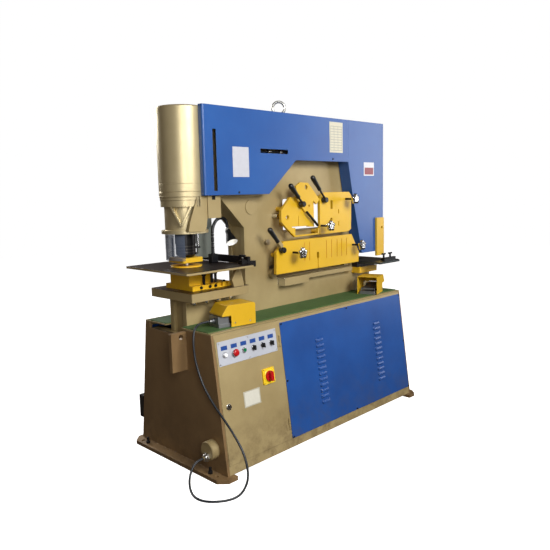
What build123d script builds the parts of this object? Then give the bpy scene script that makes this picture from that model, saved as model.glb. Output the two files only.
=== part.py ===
from build123d import *

import os
from math import atan, cos, degrees, pi, radians, sin, sqrt, tan

# Hydraulic ironworker: a welded cabinet, twin frame plates standing in it, a
# punch cylinder at the left end, a shear with hold-downs in the middle and a
# notcher at the right end. X runs along the machine, the operator stands on
# the -Y side, Z is up, and the origin is on the floor midway between the ends.

os.makedirs("parts", exist_ok=True)

# General fits
running_gap = 0.5
seat_gap = 0.3
sheet = 3

# Cabinet
cabinet_length = 1740
cabinet_height = 766
floor_depth = 794
deck_depth = 597
end_thickness = 16
panel_thickness = 5
foot_thickness = 22
foot_overhang_x = 60
foot_overhang_y = 26
foot_inner_width = 47
foot_chamfer = 46
anchor_radius = 11
anchor_spacing_y = 690
anchor_inset = 28
levelling_spacing_y = 584
levelling_radius = 8
levelling_height = 34
tray_thickness = 6
deck_thickness = 8
mat_thickness = 4
mat_margin = 26
mat_end_margin = 5
recess_front_y = -92
recess_rear_y = 257
recess_depth = 44

# Doors and covers on the sloped faces, heights above the floor
door_left_x = -852
door_right_x = -392
cover_left_x = -371
cover_right_x = 857
door_low_z = 72
door_high_z = cabinet_height - 25
pan_flange = 14
opening_margin = 12
louvre_columns_x = (-50, 545)
louvre_rows = 12
louvre_pitch = 34.5
louvre_length = 66
louvre_rise = 8
louvre_height = 17
louvre_middle_z = cabinet_height - 368
cover_screw_radius = 6
cover_screw_inset = 8

# Door hinges: two barrels on a pin, at the door's right edge
hinge_pin_x = -386
hinge_pin_out = 6
hinge_pin_radius = 3
hinge_radius_out = 5.5
hinge_length = 64
hinge_heights = (door_low_z + 90, door_high_z - 100)

# Door controls
switch_plate_left_x = -841
switch_plate_right_x = -412
switch_plate_low_z = cabinet_height - 175
switch_plate_high_z = cabinet_height - 47
plate_thickness = 2
control_pitch = 68.2
first_control_x = -798
control_z = cabinet_height - 121
bezel_radius = 14
main_switch_x = -508
main_switch_z = cabinet_height - 296
main_switch_size = 88
lock_x = -811
lock_z = cabinet_height - 390

# Frame plates
frame_centre_y = 24
frame_plate_thickness = 32
frame_gap = 84
frame_left_x = -833
frame_right_x = 852
frame_top_z = cabinet_height + 1169
throat_x = -391
throat_bend_z = cabinet_height + 516
jaw_x = -553
jaw_z = cabinet_height + 681
window_radius = 12
upper_window = (-60, 470, cabinet_height + 469, cabinet_height + 674)
lower_window = (-190, frame_right_x - 252, cabinet_height + 191, cabinet_height + 294)
notch_mouth_x = frame_right_x - 212
notch_bed_z = cabinet_height + 134
notch_roof_z = cabinet_height + 309
web_thickness = 30

# Punch end
punch_x = -762
cylinder_radius = 132
cylinder_low_z = cabinet_height + 702
cylinder_high_z = cabinet_height + 1179
neck_radius = 126
neck_low_z = cabinet_height + 651
housing_radius = 108
rib_radius = 128
housing_low_z = cabinet_height + 524
flange_radius = 128
flange_thickness = 18
ram_radius = 58
ram_stroke = 60
nut_radius = 55
punch_radius = 14
bolster_top_z = cabinet_height + 196
bolster_thickness = 48
bolster_left_x = -876
bolster_right_x = -468
bolster_front_y = -165
bolster_rear_y = 215
table_top_z = cabinet_height + 322
table_thickness = 12
table_left_x = -972
table_right_x = -512
table_front_y = -258
table_rear_y = 311
die_ring_radius = 86
stripper_size = 138
stripper_low_z = cabinet_height + 346
stripper_thickness = 26
shield_radius = 108
shield_thickness = 4
shield_first_angle = 104
shield_last_angle = 232

# Guards
guard_top_z = cabinet_height + 1184
guard_front_y = -140
guard_left_x = -742
guard_bend_radius = 12
guard_low_z = cabinet_height + 708
cover_seam_x = frame_right_x - 360
cover_end_x = frame_right_x + 48
cover_low_z = cabinet_height + 280

# Slots in the front guard and the stroke setting rods behind them
stroke_slot_width = 24
punch_slot_x = -665
punch_slot_z = cabinet_height + 895
punch_slot_length = 327
shear_slot_x = -210
shear_slot_z = cabinet_height + 955
shear_slot_length = 230
stroke_rod_y = -112
stroke_rod_radius = 6
collar_radius = 11
collar_width = 20

# Shear
pivot_x = -330
pivot_z = cabinet_height + 634
pivot_radius = 45
beam_end_radius = 88
beam_top_z = cabinet_height + 884
beam_right_x = frame_right_x - 22
beam_roof_z = cabinet_height + 369
blade_left_x = -165
blade_right_x = frame_right_x - 267
blade_left_z = cabinet_height + 202
blade_right_z = cabinet_height + 252
blade_height = 60
blade_thickness = 29
shear_angle = 5
shear_rod_x = frame_right_x - 152
shear_rod_radius = 22
rod_rest_gap = 1.2

# Hold-downs
hold_down_front_y = -134
hold_down_thickness = 20
swivel_thickness = 12
standoff_radius = 14
knob_radius = 38
knob_thickness = 26
knob_reach = 95
grip_radius = 16
grip_length = 112

# Notcher
notch_table_left_x = frame_right_x - 202
notch_table_right_x = frame_right_x + 78
notch_table_front_y = -290
notch_table_rear_y = 200
notch_table_top_z = cabinet_height + 219

# Foot pedals
pedal_length = 210
pedal_width = 140
pedal_height = 120
pedal_base_height = 20

# Pedal cord
cord_diameter = 12

# Worked-out values
half_length = cabinet_length / 2
half_floor = floor_depth / 2
half_deck = deck_depth / 2
deck_under_z = cabinet_height - deck_thickness
mat_top_z = cabinet_height + mat_thickness
tray_top_z = foot_thickness + tray_thickness
slope = atan((half_floor - half_deck) / (cabinet_height - foot_thickness))
foot_outer_x = half_length + foot_overhang_x
foot_inner_x = half_length - foot_inner_width
end_inner_x = half_length - end_thickness
frame_front_y = frame_centre_y - frame_gap / 2 - frame_plate_thickness
frame_rear_y = frame_centre_y + frame_gap / 2 + frame_plate_thickness
gap_front_y = frame_centre_y - frame_gap / 2
gap_rear_y = frame_centre_y + frame_gap / 2
bolster_low_z = bolster_top_z - bolster_thickness
table_low_z = table_top_z - table_thickness


def save(piece, name):
    """Label a finished piece and write it to its own file."""
    piece.part.label = name
    export_step(piece.part, f"parts/{name}.step")


def half_depth(z):
    """Half of the cabinet's depth at a height above the floor."""
    return half_floor - (z - foot_thickness) * tan(slope)


def along_slope(z):
    """Distance up the sloped face, from the foot plate, at a height above the floor."""
    return (z - foot_thickness) / cos(slope)


def front_plane(y):
    """Upright plane that faces the operator: sketches read X across and Z up."""
    return Plane.XZ.offset(-y)


def side_plane(x):
    """Upright plane across the machine: sketches read Y across and Z up."""
    return Plane.YZ.offset(x)


def slope_plane(side, out=0):
    """Plane of the front (-1) or rear (+1) sloped face, moved outwards by a distance."""
    normal = (0, side * cos(slope), sin(slope))
    face = Plane(origin=(0, side * half_floor, foot_thickness), x_dir=(-side, 0, 0), z_dir=normal)
    return face.offset(out)


def over_deck(*points):
    """Points of an outline, given as X and the height above the cabinet's top."""
    return [(x, cabinet_height + z) for x, z in points]


def add_box(low, high, mode=Mode.ADD):
    """Box between two corners."""
    size = [b - a for a, b in zip(low, high)]
    middle = tuple((a + b) / 2 for a, b in zip(low, high))
    with Locations(middle):
        Box(*size, mode=mode)


def add_rod(middle, turn, radius, length, mode=Mode.ADD):
    """Round bar about its middle: turn is its rotation from upright."""
    with Locations(Location(middle, turn)):
        Cylinder(radius, length, mode=mode)


def plate(points, front_y, thickness, corner=0):
    """Upright plate cut to an outline of X, Z points behind a front face."""
    with BuildPart() as piece:
        with BuildSketch(front_plane(front_y)) as profile:
            Polygon(*points, align=None)
            if corner:
                fillet(profile.vertices(), corner)
        extrude(amount=-thickness)
    return piece.part


UPRIGHT = (0, 0, 0)
ALONG_X = (0, 90, 0)
ALONG_Y = (90, 0, 0)

# Cabinet ends: a trapezoid plate welded on a foot plate at each end
tow_lug_front_y = -90
tow_lug_thickness = 25
tow_lug_reach = 98
tow_lug_high_z = cabinet_height - 14
tow_lug_low_z = cabinet_height - 226
tow_lug_hole_z = cabinet_height - 33
boss_y = -285
boss_z = 146
boss_radius = 52
boss_length = 45
gland_y = -290
gland_z = 118
wire_hole_radius = 9
with BuildPart() as cabinet_ends:
    for side in (-1, 1):
        with BuildSketch(side_plane(side * half_length)):
            Polygon(
                (-half_floor, foot_thickness),
                (half_floor, foot_thickness),
                (half_depth(deck_under_z), deck_under_z),
                (-half_depth(deck_under_z), deck_under_z),
                align=None,
            )
        extrude(amount=-side * end_thickness)
        foot_half_y = half_floor + foot_overhang_y
        with BuildSketch(Plane.XY):
            Polygon(
                (side * foot_inner_x, -foot_half_y),
                (side * (foot_outer_x - foot_chamfer), -foot_half_y),
                (side * foot_outer_x, -foot_half_y + foot_chamfer),
                (side * foot_outer_x, foot_half_y - foot_chamfer),
                (side * (foot_outer_x - foot_chamfer), foot_half_y),
                (side * foot_inner_x, foot_half_y),
                align=None,
            )
            hole_x = side * (foot_outer_x - anchor_inset)
            with Locations((hole_x, -anchor_spacing_y / 2), (hole_x, anchor_spacing_y / 2)):
                Circle(anchor_radius, mode=Mode.SUBTRACT)
            with Locations((hole_x, -levelling_spacing_y / 2), (hole_x, levelling_spacing_y / 2)):
                Circle(levelling_radius, mode=Mode.SUBTRACT)
        extrude(amount=foot_thickness)
    recess_low = (-half_length - 1, recess_front_y, cabinet_height - recess_depth)
    recess_high = (-end_inner_x + 1, recess_rear_y, cabinet_height)
    add_box(recess_low, recess_high, Mode.SUBTRACT)
    add_box(
        (-half_length - tow_lug_reach, tow_lug_front_y, tow_lug_low_z),
        (-half_length, tow_lug_front_y + tow_lug_thickness, tow_lug_high_z),
    )
    lug_hole = (-half_length - tow_lug_reach * 0.36, tow_lug_front_y, tow_lug_hole_z - 8)
    add_rod(lug_hole, ALONG_Y, 14, 4 * tow_lug_thickness, Mode.SUBTRACT)
    add_rod((-half_length, gland_y, gland_z), ALONG_X, wire_hole_radius, 4 * end_thickness, Mode.SUBTRACT)
save(cabinet_ends, "cabinet_ends")

# Levelling screws stand in the foot plates beside the anchor holes
with BuildPart() as levelling_screws:
    screw_x = foot_outer_x - anchor_inset
    spots = [(sx * screw_x, sy * levelling_spacing_y / 2) for sx in (-1, 1) for sy in (-1, 1)]
    for x, y in spots:
        with BuildSketch(Plane((x, y, foot_thickness))):
            RegularPolygon(levelling_radius * 1.7, 6)
        extrude(amount=levelling_radius * 1.4)
        shank = levelling_height + foot_thickness
        add_rod((x, y, shank / 2), UPRIGHT, levelling_radius - seat_gap / 3, shank)
save(levelling_screws, "levelling_screws")

# Cabinet body: sloped front and rear frames with their openings, and the floor tray
door_opening = (door_left_x + opening_margin, door_right_x - opening_margin)
cover_opening = (cover_left_x + opening_margin, cover_right_x - opening_margin)
rear_opening = (-cover_right_x + opening_margin, -door_left_x - opening_margin)
opening_low = along_slope(door_low_z) + opening_margin
opening_high = along_slope(door_high_z) - opening_margin
box_x = (-860, -760)
box_z = (142, 278)
box_depth = 50


def hinge_plane(z, y):
    """Plane across a door hinge's pin, at a distance up the slope from the hinge's middle."""
    on_face = slope_plane(-1, hinge_pin_out)
    origin = (on_face.location * Location((hinge_pin_x, along_slope(z) + y, 0))).position
    return Plane(origin=origin, x_dir=(1, 0, 0), z_dir=on_face.y_dir)


with BuildPart() as cabinet_body:
    for side, openings in ((-1, (door_opening, cover_opening)), (1, (rear_opening,))):
        with BuildSketch(slope_plane(side)):
            with Locations((0, along_slope(deck_under_z) / 2)):
                Rectangle(2 * end_inner_x, along_slope(deck_under_z) - 2)
            for left, right in openings:
                middle = ((left + right) / 2, (opening_low + opening_high) / 2)
                with Locations(middle):
                    Rectangle(right - left, opening_high - opening_low, mode=Mode.SUBTRACT)
        extrude(amount=-panel_thickness)
    for z in hinge_heights:
        with BuildSketch(slope_plane(-1)):
            with Locations((hinge_pin_x + 7, along_slope(z) + hinge_length / 4)):
                Rectangle(14, hinge_length / 2)
        extrude(amount=2)
        with BuildSketch(hinge_plane(z, 0)):
            Circle(hinge_radius_out)
        extrude(amount=hinge_length / 2)
        with BuildSketch(hinge_plane(z, 1 - hinge_length / 2)):
            Circle(hinge_pin_radius)
        extrude(amount=hinge_length - 2)
    tray_half_y = half_depth(tray_top_z) - panel_thickness / cos(slope) - seat_gap
    tray_half_x = foot_inner_x + foot_inner_width - 2 * end_thickness
    add_box((-tray_half_x, -tray_half_y, foot_thickness), (tray_half_x, tray_half_y, tray_top_z))
save(cabinet_body, "cabinet_body")

# Deck: one plate, cut out round the frame and open at the left end
slot_front_y = frame_front_y - 1
slot_rear_y = frame_rear_y + 1
with BuildPart() as deck_plate:
    deck_half = half_depth(cabinet_height)
    add_box((-half_length, -deck_half, deck_under_z), (half_length, deck_half, cabinet_height))
    slot_low = (-half_length - 1, slot_front_y, deck_under_z - 1)
    slot_high = (frame_right_x + 1, slot_rear_y, cabinet_height + 1)
    add_box(slot_low, slot_high, Mode.SUBTRACT)
save(deck_plate, "deck_plate")

with BuildPart() as deck_mat:
    mat_half_x = half_length - mat_end_margin
    mat_half_y = half_depth(cabinet_height) - mat_margin
    add_box((-mat_half_x, -mat_half_y, cabinet_height), (mat_half_x, mat_half_y, mat_top_z))
    add_box(slot_low, (slot_high[0], slot_high[1], mat_top_z + 1), Mode.SUBTRACT)
save(deck_mat, "deck_mat")


def pan(side, left, right, low_z, high_z):
    """Folded sheet cover on a sloped face: a flat face with flanges turned into the opening."""
    low = along_slope(low_z)
    high = along_slope(high_z)
    middle = ((left + right) / 2, (low + high) / 2)
    inset = 2 * (opening_margin + running_gap)
    with BuildPart() as piece:
        with BuildSketch(slope_plane(side, seat_gap)):
            with Locations(middle):
                RectangleRounded(right - left, high - low, 4)
        extrude(amount=sheet)
        with BuildSketch(slope_plane(side, seat_gap)):
            with Locations(middle):
                wide = right - left - inset
                tall = high - low - inset
                Rectangle(wide, tall)
                Rectangle(wide - 2 * sheet, tall - 2 * sheet, mode=Mode.SUBTRACT)
        extrude(amount=-pan_flange)
    return piece.part


# Electrical door, hinged at its right edge behind the post
door_face = seat_gap + sheet
with BuildPart() as electrical_door:
    add(pan(-1, door_left_x, door_right_x, door_low_z, door_high_z))
    with BuildSketch(slope_plane(-1, door_face)):
        with Locations((lock_x, along_slope(lock_z))):
            Circle(9 + running_gap)
    extrude(amount=-2 * sheet, mode=Mode.SUBTRACT)
    for z in hinge_heights:
        with BuildSketch(slope_plane(-1, door_face)):
            with Locations((hinge_pin_x - 13, along_slope(z) - hinge_length / 4)):
                Rectangle(22, hinge_length / 2 - 1)
        extrude(amount=2)
        barrel = hinge_length / 2 - 1
        with BuildSketch(hinge_plane(z, -hinge_length / 4 - barrel / 2)):
            Circle(hinge_radius_out)
        extrude(amount=barrel)
        with BuildSketch(hinge_plane(z, -hinge_length / 2 - 1)):
            Circle(hinge_pin_radius + running_gap)
        extrude(amount=hinge_length + 2, mode=Mode.SUBTRACT)
save(electrical_door, "electrical_door")

with BuildPart() as door_lock:
    lock_spot = (lock_x, along_slope(lock_z))
    with BuildSketch(slope_plane(-1, door_face)):
        with Locations(lock_spot):
            Circle(14)
    extrude(amount=7)
    with BuildSketch(slope_plane(-1, door_face)):
        with Locations(lock_spot):
            Circle(9)
    extrude(amount=-(door_face + pan_flange + 1))
    with BuildSketch(slope_plane(-1, -pan_flange - 1)):
        with Locations((lock_x, along_slope(lock_z) - 15)):
            Rectangle(14, 46)
    extrude(amount=-4)
    with BuildSketch(slope_plane(-1, door_face + 7)):
        with Locations(lock_spot):
            Rectangle(3, 16)
    extrude(amount=-3, mode=Mode.SUBTRACT)
save(door_lock, "door_lock")

# One pressed louvre, its mouth facing down, on its own axes: X across, Y up, Z outwards
with BuildPart() as louvre:
    with BuildSketch(Plane.YZ.offset(-louvre_length / 2)):
        Polygon((0, 0), (louvre_height, 0), (0, louvre_rise), align=None)
    extrude(amount=louvre_length)
    with BuildSketch(Plane.YZ.offset(-louvre_length / 2 + sheet / 2)):
        Polygon((-1, -1), (louvre_height - sheet, -1), (-1, louvre_rise - sheet), align=None)
    extrude(amount=louvre_length - sheet, mode=Mode.SUBTRACT)


def louvred(side, left, right):
    """Sheet cover with two columns of pressed louvres."""
    bottom = along_slope(louvre_middle_z) - louvre_pitch * (louvre_rows - 1) / 2 - louvre_height / 2
    rows = [bottom + row * louvre_pitch for row in range(louvre_rows)]
    spots = [(-side * x, y) for x in louvre_columns_x for y in rows]
    with BuildPart() as piece:
        add(pan(side, left, right, door_low_z, door_high_z))
        with BuildSketch(slope_plane(side, seat_gap + sheet)):
            for x, y in spots:
                with Locations((x, y + louvre_height * 0.3)):
                    Rectangle(louvre_length - 2 * sheet, louvre_height * 0.6)
        extrude(amount=-sheet, mode=Mode.SUBTRACT)
        face = slope_plane(side, seat_gap + sheet)
        for x, y in spots:
            with Locations(face.location * Location((x, y, 0))):
                add(louvre.part)
    return piece.part


# Front and rear covers with the screws that hold them
with BuildPart() as cabinet_covers:
    add(louvred(-1, cover_left_x, cover_right_x))
    add(louvred(1, -cover_right_x, -door_left_x))
    low = along_slope(door_low_z) + cover_screw_inset
    high = along_slope(door_high_z) - cover_screw_inset
    middle_x = (cover_left_x + cover_right_x) / 2
    edges = (cover_left_x + cover_screw_inset, cover_right_x - cover_screw_inset)
    rows = [(x, y) for x in edges for y in (low, (low + high) / 2, high)]
    rows += [(middle_x, low), (middle_x, high)]
    with BuildSketch(slope_plane(-1, door_face)):
        with Locations(*rows):
            Circle(cover_screw_radius)
    extrude(amount=3.5)
    rear_left = -cover_right_x + cover_screw_inset
    rear_right = -door_left_x - cover_screw_inset
    rear_rows = [(x, y) for x in (rear_left, 0, rear_right) for y in (low, high)]
    with BuildSketch(slope_plane(1, door_face)):
        with Locations(*rear_rows):
            Circle(cover_screw_radius)
    extrude(amount=3.5)
save(cabinet_covers, "cabinet_covers")

# Switch plate with the bezels of its controls and the white lamp
control_y = along_slope(control_z)
control_spots = [(first_control_x + i * control_pitch, control_y) for i in range(6)]
plate_face = door_face + plate_thickness
bezel_height = 6
with BuildPart() as switch_plate:
    with BuildSketch(slope_plane(-1, door_face)):
        low = along_slope(switch_plate_low_z)
        high = along_slope(switch_plate_high_z)
        with Locations(((switch_plate_left_x + switch_plate_right_x) / 2, (low + high) / 2)):
            RectangleRounded(switch_plate_right_x - switch_plate_left_x, high - low, 3)
    extrude(amount=plate_thickness)
    with BuildSketch(slope_plane(-1, plate_face)):
        with Locations(*control_spots):
            Circle(bezel_radius)
    extrude(amount=bezel_height)
    with BuildSketch(slope_plane(-1, plate_face + bezel_height)):
        with Locations(*control_spots[1:3]):
            Circle(10)
    extrude(amount=-bezel_height, mode=Mode.SUBTRACT)
    with BuildSketch(slope_plane(-1, plate_face + bezel_height)):
        with Locations(control_spots[0]):
            Circle(11)
    extrude(amount=9, taper=14)
save(switch_plate, "switch_plate")

button_travel = 4
with BuildPart() as stop_button:
    with BuildSketch(slope_plane(-1, plate_face + button_travel + seat_gap)):
        with Locations(control_spots[1]):
            Circle(10 - running_gap)
    extrude(amount=bezel_height + 2)
    with BuildSketch(slope_plane(-1, plate_face + bezel_height + button_travel + 1)):
        with Locations(control_spots[1]):
            Circle(20)
    extrude(amount=13, taper=12)
save(stop_button, "stop_button")

with BuildPart() as start_button:
    with BuildSketch(slope_plane(-1, plate_face + button_travel + seat_gap)):
        with Locations(control_spots[2]):
            Circle(10 - running_gap)
    extrude(amount=bezel_height + 1)
save(start_button, "start_button")

# Three rotary selectors beside the buttons
selector_names = ("selector_mode", "selector_speed", "selector_lamp")
for name, spot in zip(selector_names, control_spots[3:]):
    with BuildPart() as selector:
        with BuildSketch(slope_plane(-1, plate_face + bezel_height + seat_gap)):
            with Locations(spot):
                Circle(12.5)
        extrude(amount=5)
        with BuildSketch(slope_plane(-1, plate_face + bezel_height + 5)):
            with Locations(spot):
                SlotOverall(27, 9, rotation=90)
        extrude(amount=11)
    save(selector, name)

# Main switch: a yellow plate and a red rotary handle
main_switch_spot = (main_switch_x, along_slope(main_switch_z))
main_plate_thickness = 9
with BuildPart() as main_switch_plate:
    with BuildSketch(slope_plane(-1, door_face)):
        with Locations(main_switch_spot):
            RectangleRounded(main_switch_size, main_switch_size, 6)
    extrude(amount=main_plate_thickness)
save(main_switch_plate, "main_switch_plate")

with BuildPart() as main_switch_knob:
    with BuildSketch(slope_plane(-1, door_face + main_plate_thickness + seat_gap)):
        with Locations(main_switch_spot):
            Circle(30)
    extrude(amount=10)
    with BuildSketch(slope_plane(-1, door_face + main_plate_thickness + 10)):
        with Locations(main_switch_spot):
            SlotOverall(56, 20, rotation=90)
    extrude(amount=20)
save(main_switch_knob, "main_switch_knob")

# Electrical plate behind the door, with its rails and switchgear, and the outside box
panel_front_y = -82
with BuildPart() as electrical_panel:
    add_box((-822, panel_front_y, 90), (-422, panel_front_y + 3, cabinet_height - 76))
    for x in (-800, -444):
        for z in (120, cabinet_height - 106):
            standoff = frame_front_y - panel_front_y - 3
            add_rod((x, panel_front_y + 3 + standoff / 2, z), ALONG_Y, 8, standoff)
    top_row_z = cabinet_height - 236
    for z in (top_row_z - 300, top_row_z - 150, top_row_z):
        add_box((-800, panel_front_y - 8, z - 17), (-444, panel_front_y, z + 17))
    for i in range(5):
        left = -790 + i * 66
        add_box((left, panel_front_y - 84, top_row_z - 40), (left + 48, panel_front_y - 8, top_row_z + 40))
    for i in range(14):
        left = -790 + i * 22
        add_box((left, panel_front_y - 56, top_row_z - 325), (left + 18, panel_front_y - 8, top_row_z - 275))
    add_box((-780, panel_front_y - 96, top_row_z - 190), (-660, panel_front_y - 8, top_row_z - 100))
    cover_out = (sheet + 2 * seat_gap) / cos(slope)
    rear_y = half_depth(box_z[0]) + cover_out
    with BuildSketch(Plane.XY.offset(box_z[0])):
        with Locations(((box_x[0] + box_x[1]) / 2, rear_y + box_depth / 2)):
            RectangleRounded(box_x[1] - box_x[0], box_depth, 6)
    extrude(amount=box_z[1] - box_z[0])
    with BuildSketch(side_plane(box_x[0] + 10)):
        high_y = half_depth(box_z[1]) + cover_out
        low_z, high_z = box_z
        back_y = rear_y + 9
        Polygon((rear_y, low_z), (back_y, low_z), (back_y, high_z), (high_y, high_z), align=None)
    extrude(amount=box_x[1] - box_x[0] - 20)
save(electrical_panel, "electrical_panel")

# Hydraulic unit: oil tank on the tray, motor with its pump flange, valve block
tank_low = (60, frame_rear_y + 12, tray_top_z)
tank_high = (700, half_deck + 31, cabinet_height - 396)
motor_x = 540
motor_y = (tank_low[1] + tank_high[1]) / 2
motor_radius = 88
with BuildPart() as hydraulic_unit:
    add_box(tank_low, tank_high)
    fillet(hydraulic_unit.edges().filter_by(Axis.Z), 12)
    lid_high = (tank_high[0] + 8, tank_high[1] + 8, tank_high[2] + 8)
    add_box((tank_low[0] - 8, tank_low[1] - 8, tank_high[2]), lid_high)
    add_rod((160, motor_y, tank_high[2] + 30), UPRIGHT, 30, 50)
    lid_z = tank_high[2] + 8
    add_rod((motor_x, motor_y, lid_z + 15), UPRIGHT, 100, 30)
    add_rod((motor_x, motor_y, lid_z + 140), UPRIGHT, motor_radius, 220)
    with BuildSketch(Plane.XY.offset(lid_z + 50)):
        with Locations((motor_x, motor_y)):
            with PolarLocations(motor_radius, 20):
                Rectangle(14, 4)
    extrude(amount=170)
    add_rod((motor_x, motor_y, lid_z + 260), UPRIGHT, motor_radius + 4, 40)
    add_box((motor_x - 160, motor_y - 50, lid_z + 90), (motor_x - 80, motor_y + 50, lid_z + 190))
    add_box((270, motor_y - 60, lid_z), (350, motor_y + 60, lid_z + 90))
save(hydraulic_unit, "hydraulic_unit")

# Cable boss on the left end, and the gland that the pedal cord goes into
gland_tip_x = -945
with BuildPart() as cable_boss:
    add_rod((-half_length - boss_length / 2, boss_y, boss_z), ALONG_X, boss_radius, boss_length)
    chamfer(cable_boss.faces().sort_by(Axis.X)[0].edges(), 5)
    middle = (-half_length - boss_length / 2, gland_y, gland_z)
    add_rod(middle, ALONG_X, wire_hole_radius, 2 * boss_length, Mode.SUBTRACT)
    start_x = -half_length - boss_length
    with BuildSketch(side_plane(start_x)):
        with Locations((gland_y, gland_z)):
            RegularPolygon(17, 6)
    extrude(amount=-9)
    with BuildSketch(side_plane(start_x - 9)):
        with Locations((gland_y, gland_z)):
            Circle(13)
    extrude(amount=gland_tip_x - start_x + 9, taper=6)
save(cable_boss, "cable_boss")

# Frame plates: twin plates with the throat, the stock windows and the notcher's mouth
frame_outline = [
    (frame_left_x, tray_top_z),
    (frame_right_x, tray_top_z),
    (frame_right_x, notch_bed_z),
    (notch_mouth_x, notch_bed_z),
    (notch_mouth_x, notch_roof_z),
    (frame_right_x, notch_roof_z),
    (frame_right_x, frame_top_z),
    (punch_x, frame_top_z),
    (punch_x, jaw_z),
    (jaw_x, jaw_z),
    (throat_x, throat_bend_z),
    (throat_x, bolster_low_z),
    (frame_left_x, bolster_low_z),
]


def frame_plate(front_y):
    """One of the twin frame plates, cut round the cylinder and through the stock windows."""
    with BuildPart() as piece:
        with BuildSketch(front_plane(front_y)):
            Polygon(*frame_outline, align=None)
            for left, right, low_z, high_z in (upper_window, lower_window):
                with Locations(((left + right) / 2, (low_z + high_z) / 2)):
                    RectangleRounded(right - left, high_z - low_z, window_radius, mode=Mode.SUBTRACT)
            with Locations((pivot_x, pivot_z)):
                Circle(pivot_radius + seat_gap / 10, mode=Mode.SUBTRACT)
        extrude(amount=-frame_plate_thickness)
    return piece.part


cheek_front_y = -108
cheek_outline = over_deck(
    (-836, 519),
    (-726, 514),
    (-714, 540),
    (-706, 585),
    (-616, 585),
    (-616, 706),
    (-770, 706),
    (-824, 567),
)
cheek_step_x = -706
cheek_step = 8
rest_low = (-115, -110, cabinet_height + 137)
rest_high = (112, frame_front_y, cabinet_height + 187)
ledge_low = (112, -92, cabinet_height + 159)
ledge_high = (frame_right_x - 260, frame_front_y, cabinet_height + 187)
bore_length = 2 * (frame_top_z - neck_low_z)
bore_middle = (punch_x, frame_centre_y, frame_top_z)
with BuildPart() as frame_plate_front:
    add(frame_plate(frame_front_y))
    with BuildSketch(front_plane(cheek_front_y)):
        Polygon(*cheek_outline, align=None)
    extrude(amount=cheek_front_y - frame_front_y)
    add_box(
        (cheek_step_x, cheek_front_y - cheek_step, cabinet_height + 585),
        (-616, cheek_front_y, cabinet_height + 706),
    )
    add_box(rest_low, rest_high)
    add_box(ledge_low, ledge_high)
    add_rod(bore_middle, UPRIGHT, cylinder_radius + seat_gap, bore_length, Mode.SUBTRACT)
    add_rod((punch_x, frame_centre_y, neck_low_z - 200), UPRIGHT, rib_radius + seat_gap, 400, Mode.SUBTRACT)
    for x, z, radius, reach in ((-146, 573, 13, 44), (-212, 418, 17, 20), (-171, 222, 30, 26)):
        add_rod((x, frame_front_y - reach / 2, cabinet_height + z), ALONG_Y, radius, reach)
    add_rod((punch_slot_x, stroke_rod_y, punch_slot_z), UPRIGHT, stroke_rod_radius, punch_slot_length + 40)
    add_rod((shear_slot_x, stroke_rod_y, shear_slot_z), ALONG_X, stroke_rod_radius, shear_slot_length + 40)
    for share in (-0.3, 0.12):
        collar_z = punch_slot_z + share * punch_slot_length
        add_rod((punch_slot_x, stroke_rod_y, collar_z), UPRIGHT, collar_radius, collar_width)
        collar_x = shear_slot_x + (share + 0.2) * shear_slot_length
        add_rod((collar_x, stroke_rod_y, shear_slot_z), ALONG_X, collar_radius, collar_width)
    for side in (-1, 1):
        end_z = punch_slot_z + side * (punch_slot_length / 2 + 12)
        add_box((punch_slot_x - 8, stroke_rod_y - 8, end_z - 6), (punch_slot_x + 30, stroke_rod_y + 8, end_z + 6))
        add_box((punch_slot_x + 18, stroke_rod_y - 8, end_z - 6), (punch_slot_x + 30, frame_front_y, end_z + 6))
        end_x = shear_slot_x + side * (shear_slot_length / 2 + 12)
        add_box((end_x - 6, stroke_rod_y - 8, shear_slot_z - 8), (end_x + 6, frame_front_y, shear_slot_z + 8))
save(frame_plate_front, "frame_plate_front")

with BuildPart() as frame_plate_rear:
    add(frame_plate(frame_rear_y - frame_plate_thickness))
    add_rod(bore_middle, UPRIGHT, cylinder_radius + seat_gap, bore_length, Mode.SUBTRACT)
save(frame_plate_rear, "frame_plate_rear")

# Between the frame plates: webs, the fixed lower blade on its bed, and the beam's pivot pin
bed_low_z = cabinet_height + 69
lower_blade_low_z = lower_window[2] - blade_height
blade_front_y = gap_front_y + blade_thickness + seat_gap
with BuildPart() as frame_inner:
    left_web_x = frame_left_x + 21
    add_box((left_web_x, gap_front_y, tray_top_z), (left_web_x + web_thickness, gap_rear_y, bolster_low_z))
    add_box((frame_right_x - web_thickness, gap_front_y, tray_top_z), (frame_right_x, gap_rear_y, notch_bed_z))
    add_box((-300, gap_front_y, frame_top_z - web_thickness), (frame_right_x - 40, gap_rear_y, frame_top_z))
    add_box((blade_left_x - 20, gap_front_y, bed_low_z), (blade_right_x + 10, gap_rear_y, lower_blade_low_z))
    recess = 6
    with BuildSketch(front_plane(gap_front_y)):
        Polygon(
            (throat_x + recess, bolster_low_z),
            (throat_x + recess, throat_bend_z + recess / 2),
            (jaw_x + 1.5 * recess, jaw_z + recess / 2),
            (jaw_x + web_thickness + recess, jaw_z + web_thickness / 2),
            (throat_x + recess + web_thickness, throat_bend_z + recess / 2 + web_thickness * 0.4),
            (throat_x + recess + web_thickness, bolster_low_z),
            align=None,
        )
    extrude(amount=-frame_gap)
    add_box((blade_left_x - 15, blade_front_y, lower_blade_low_z), (blade_right_x + 5, gap_rear_y, lower_window[2]))
    pin_length = 2 * frame_plate_thickness + frame_gap + 8
    add_rod((pivot_x, frame_centre_y, pivot_z), ALONG_Y, pivot_radius, pin_length)
save(frame_inner, "frame_inner")

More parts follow.
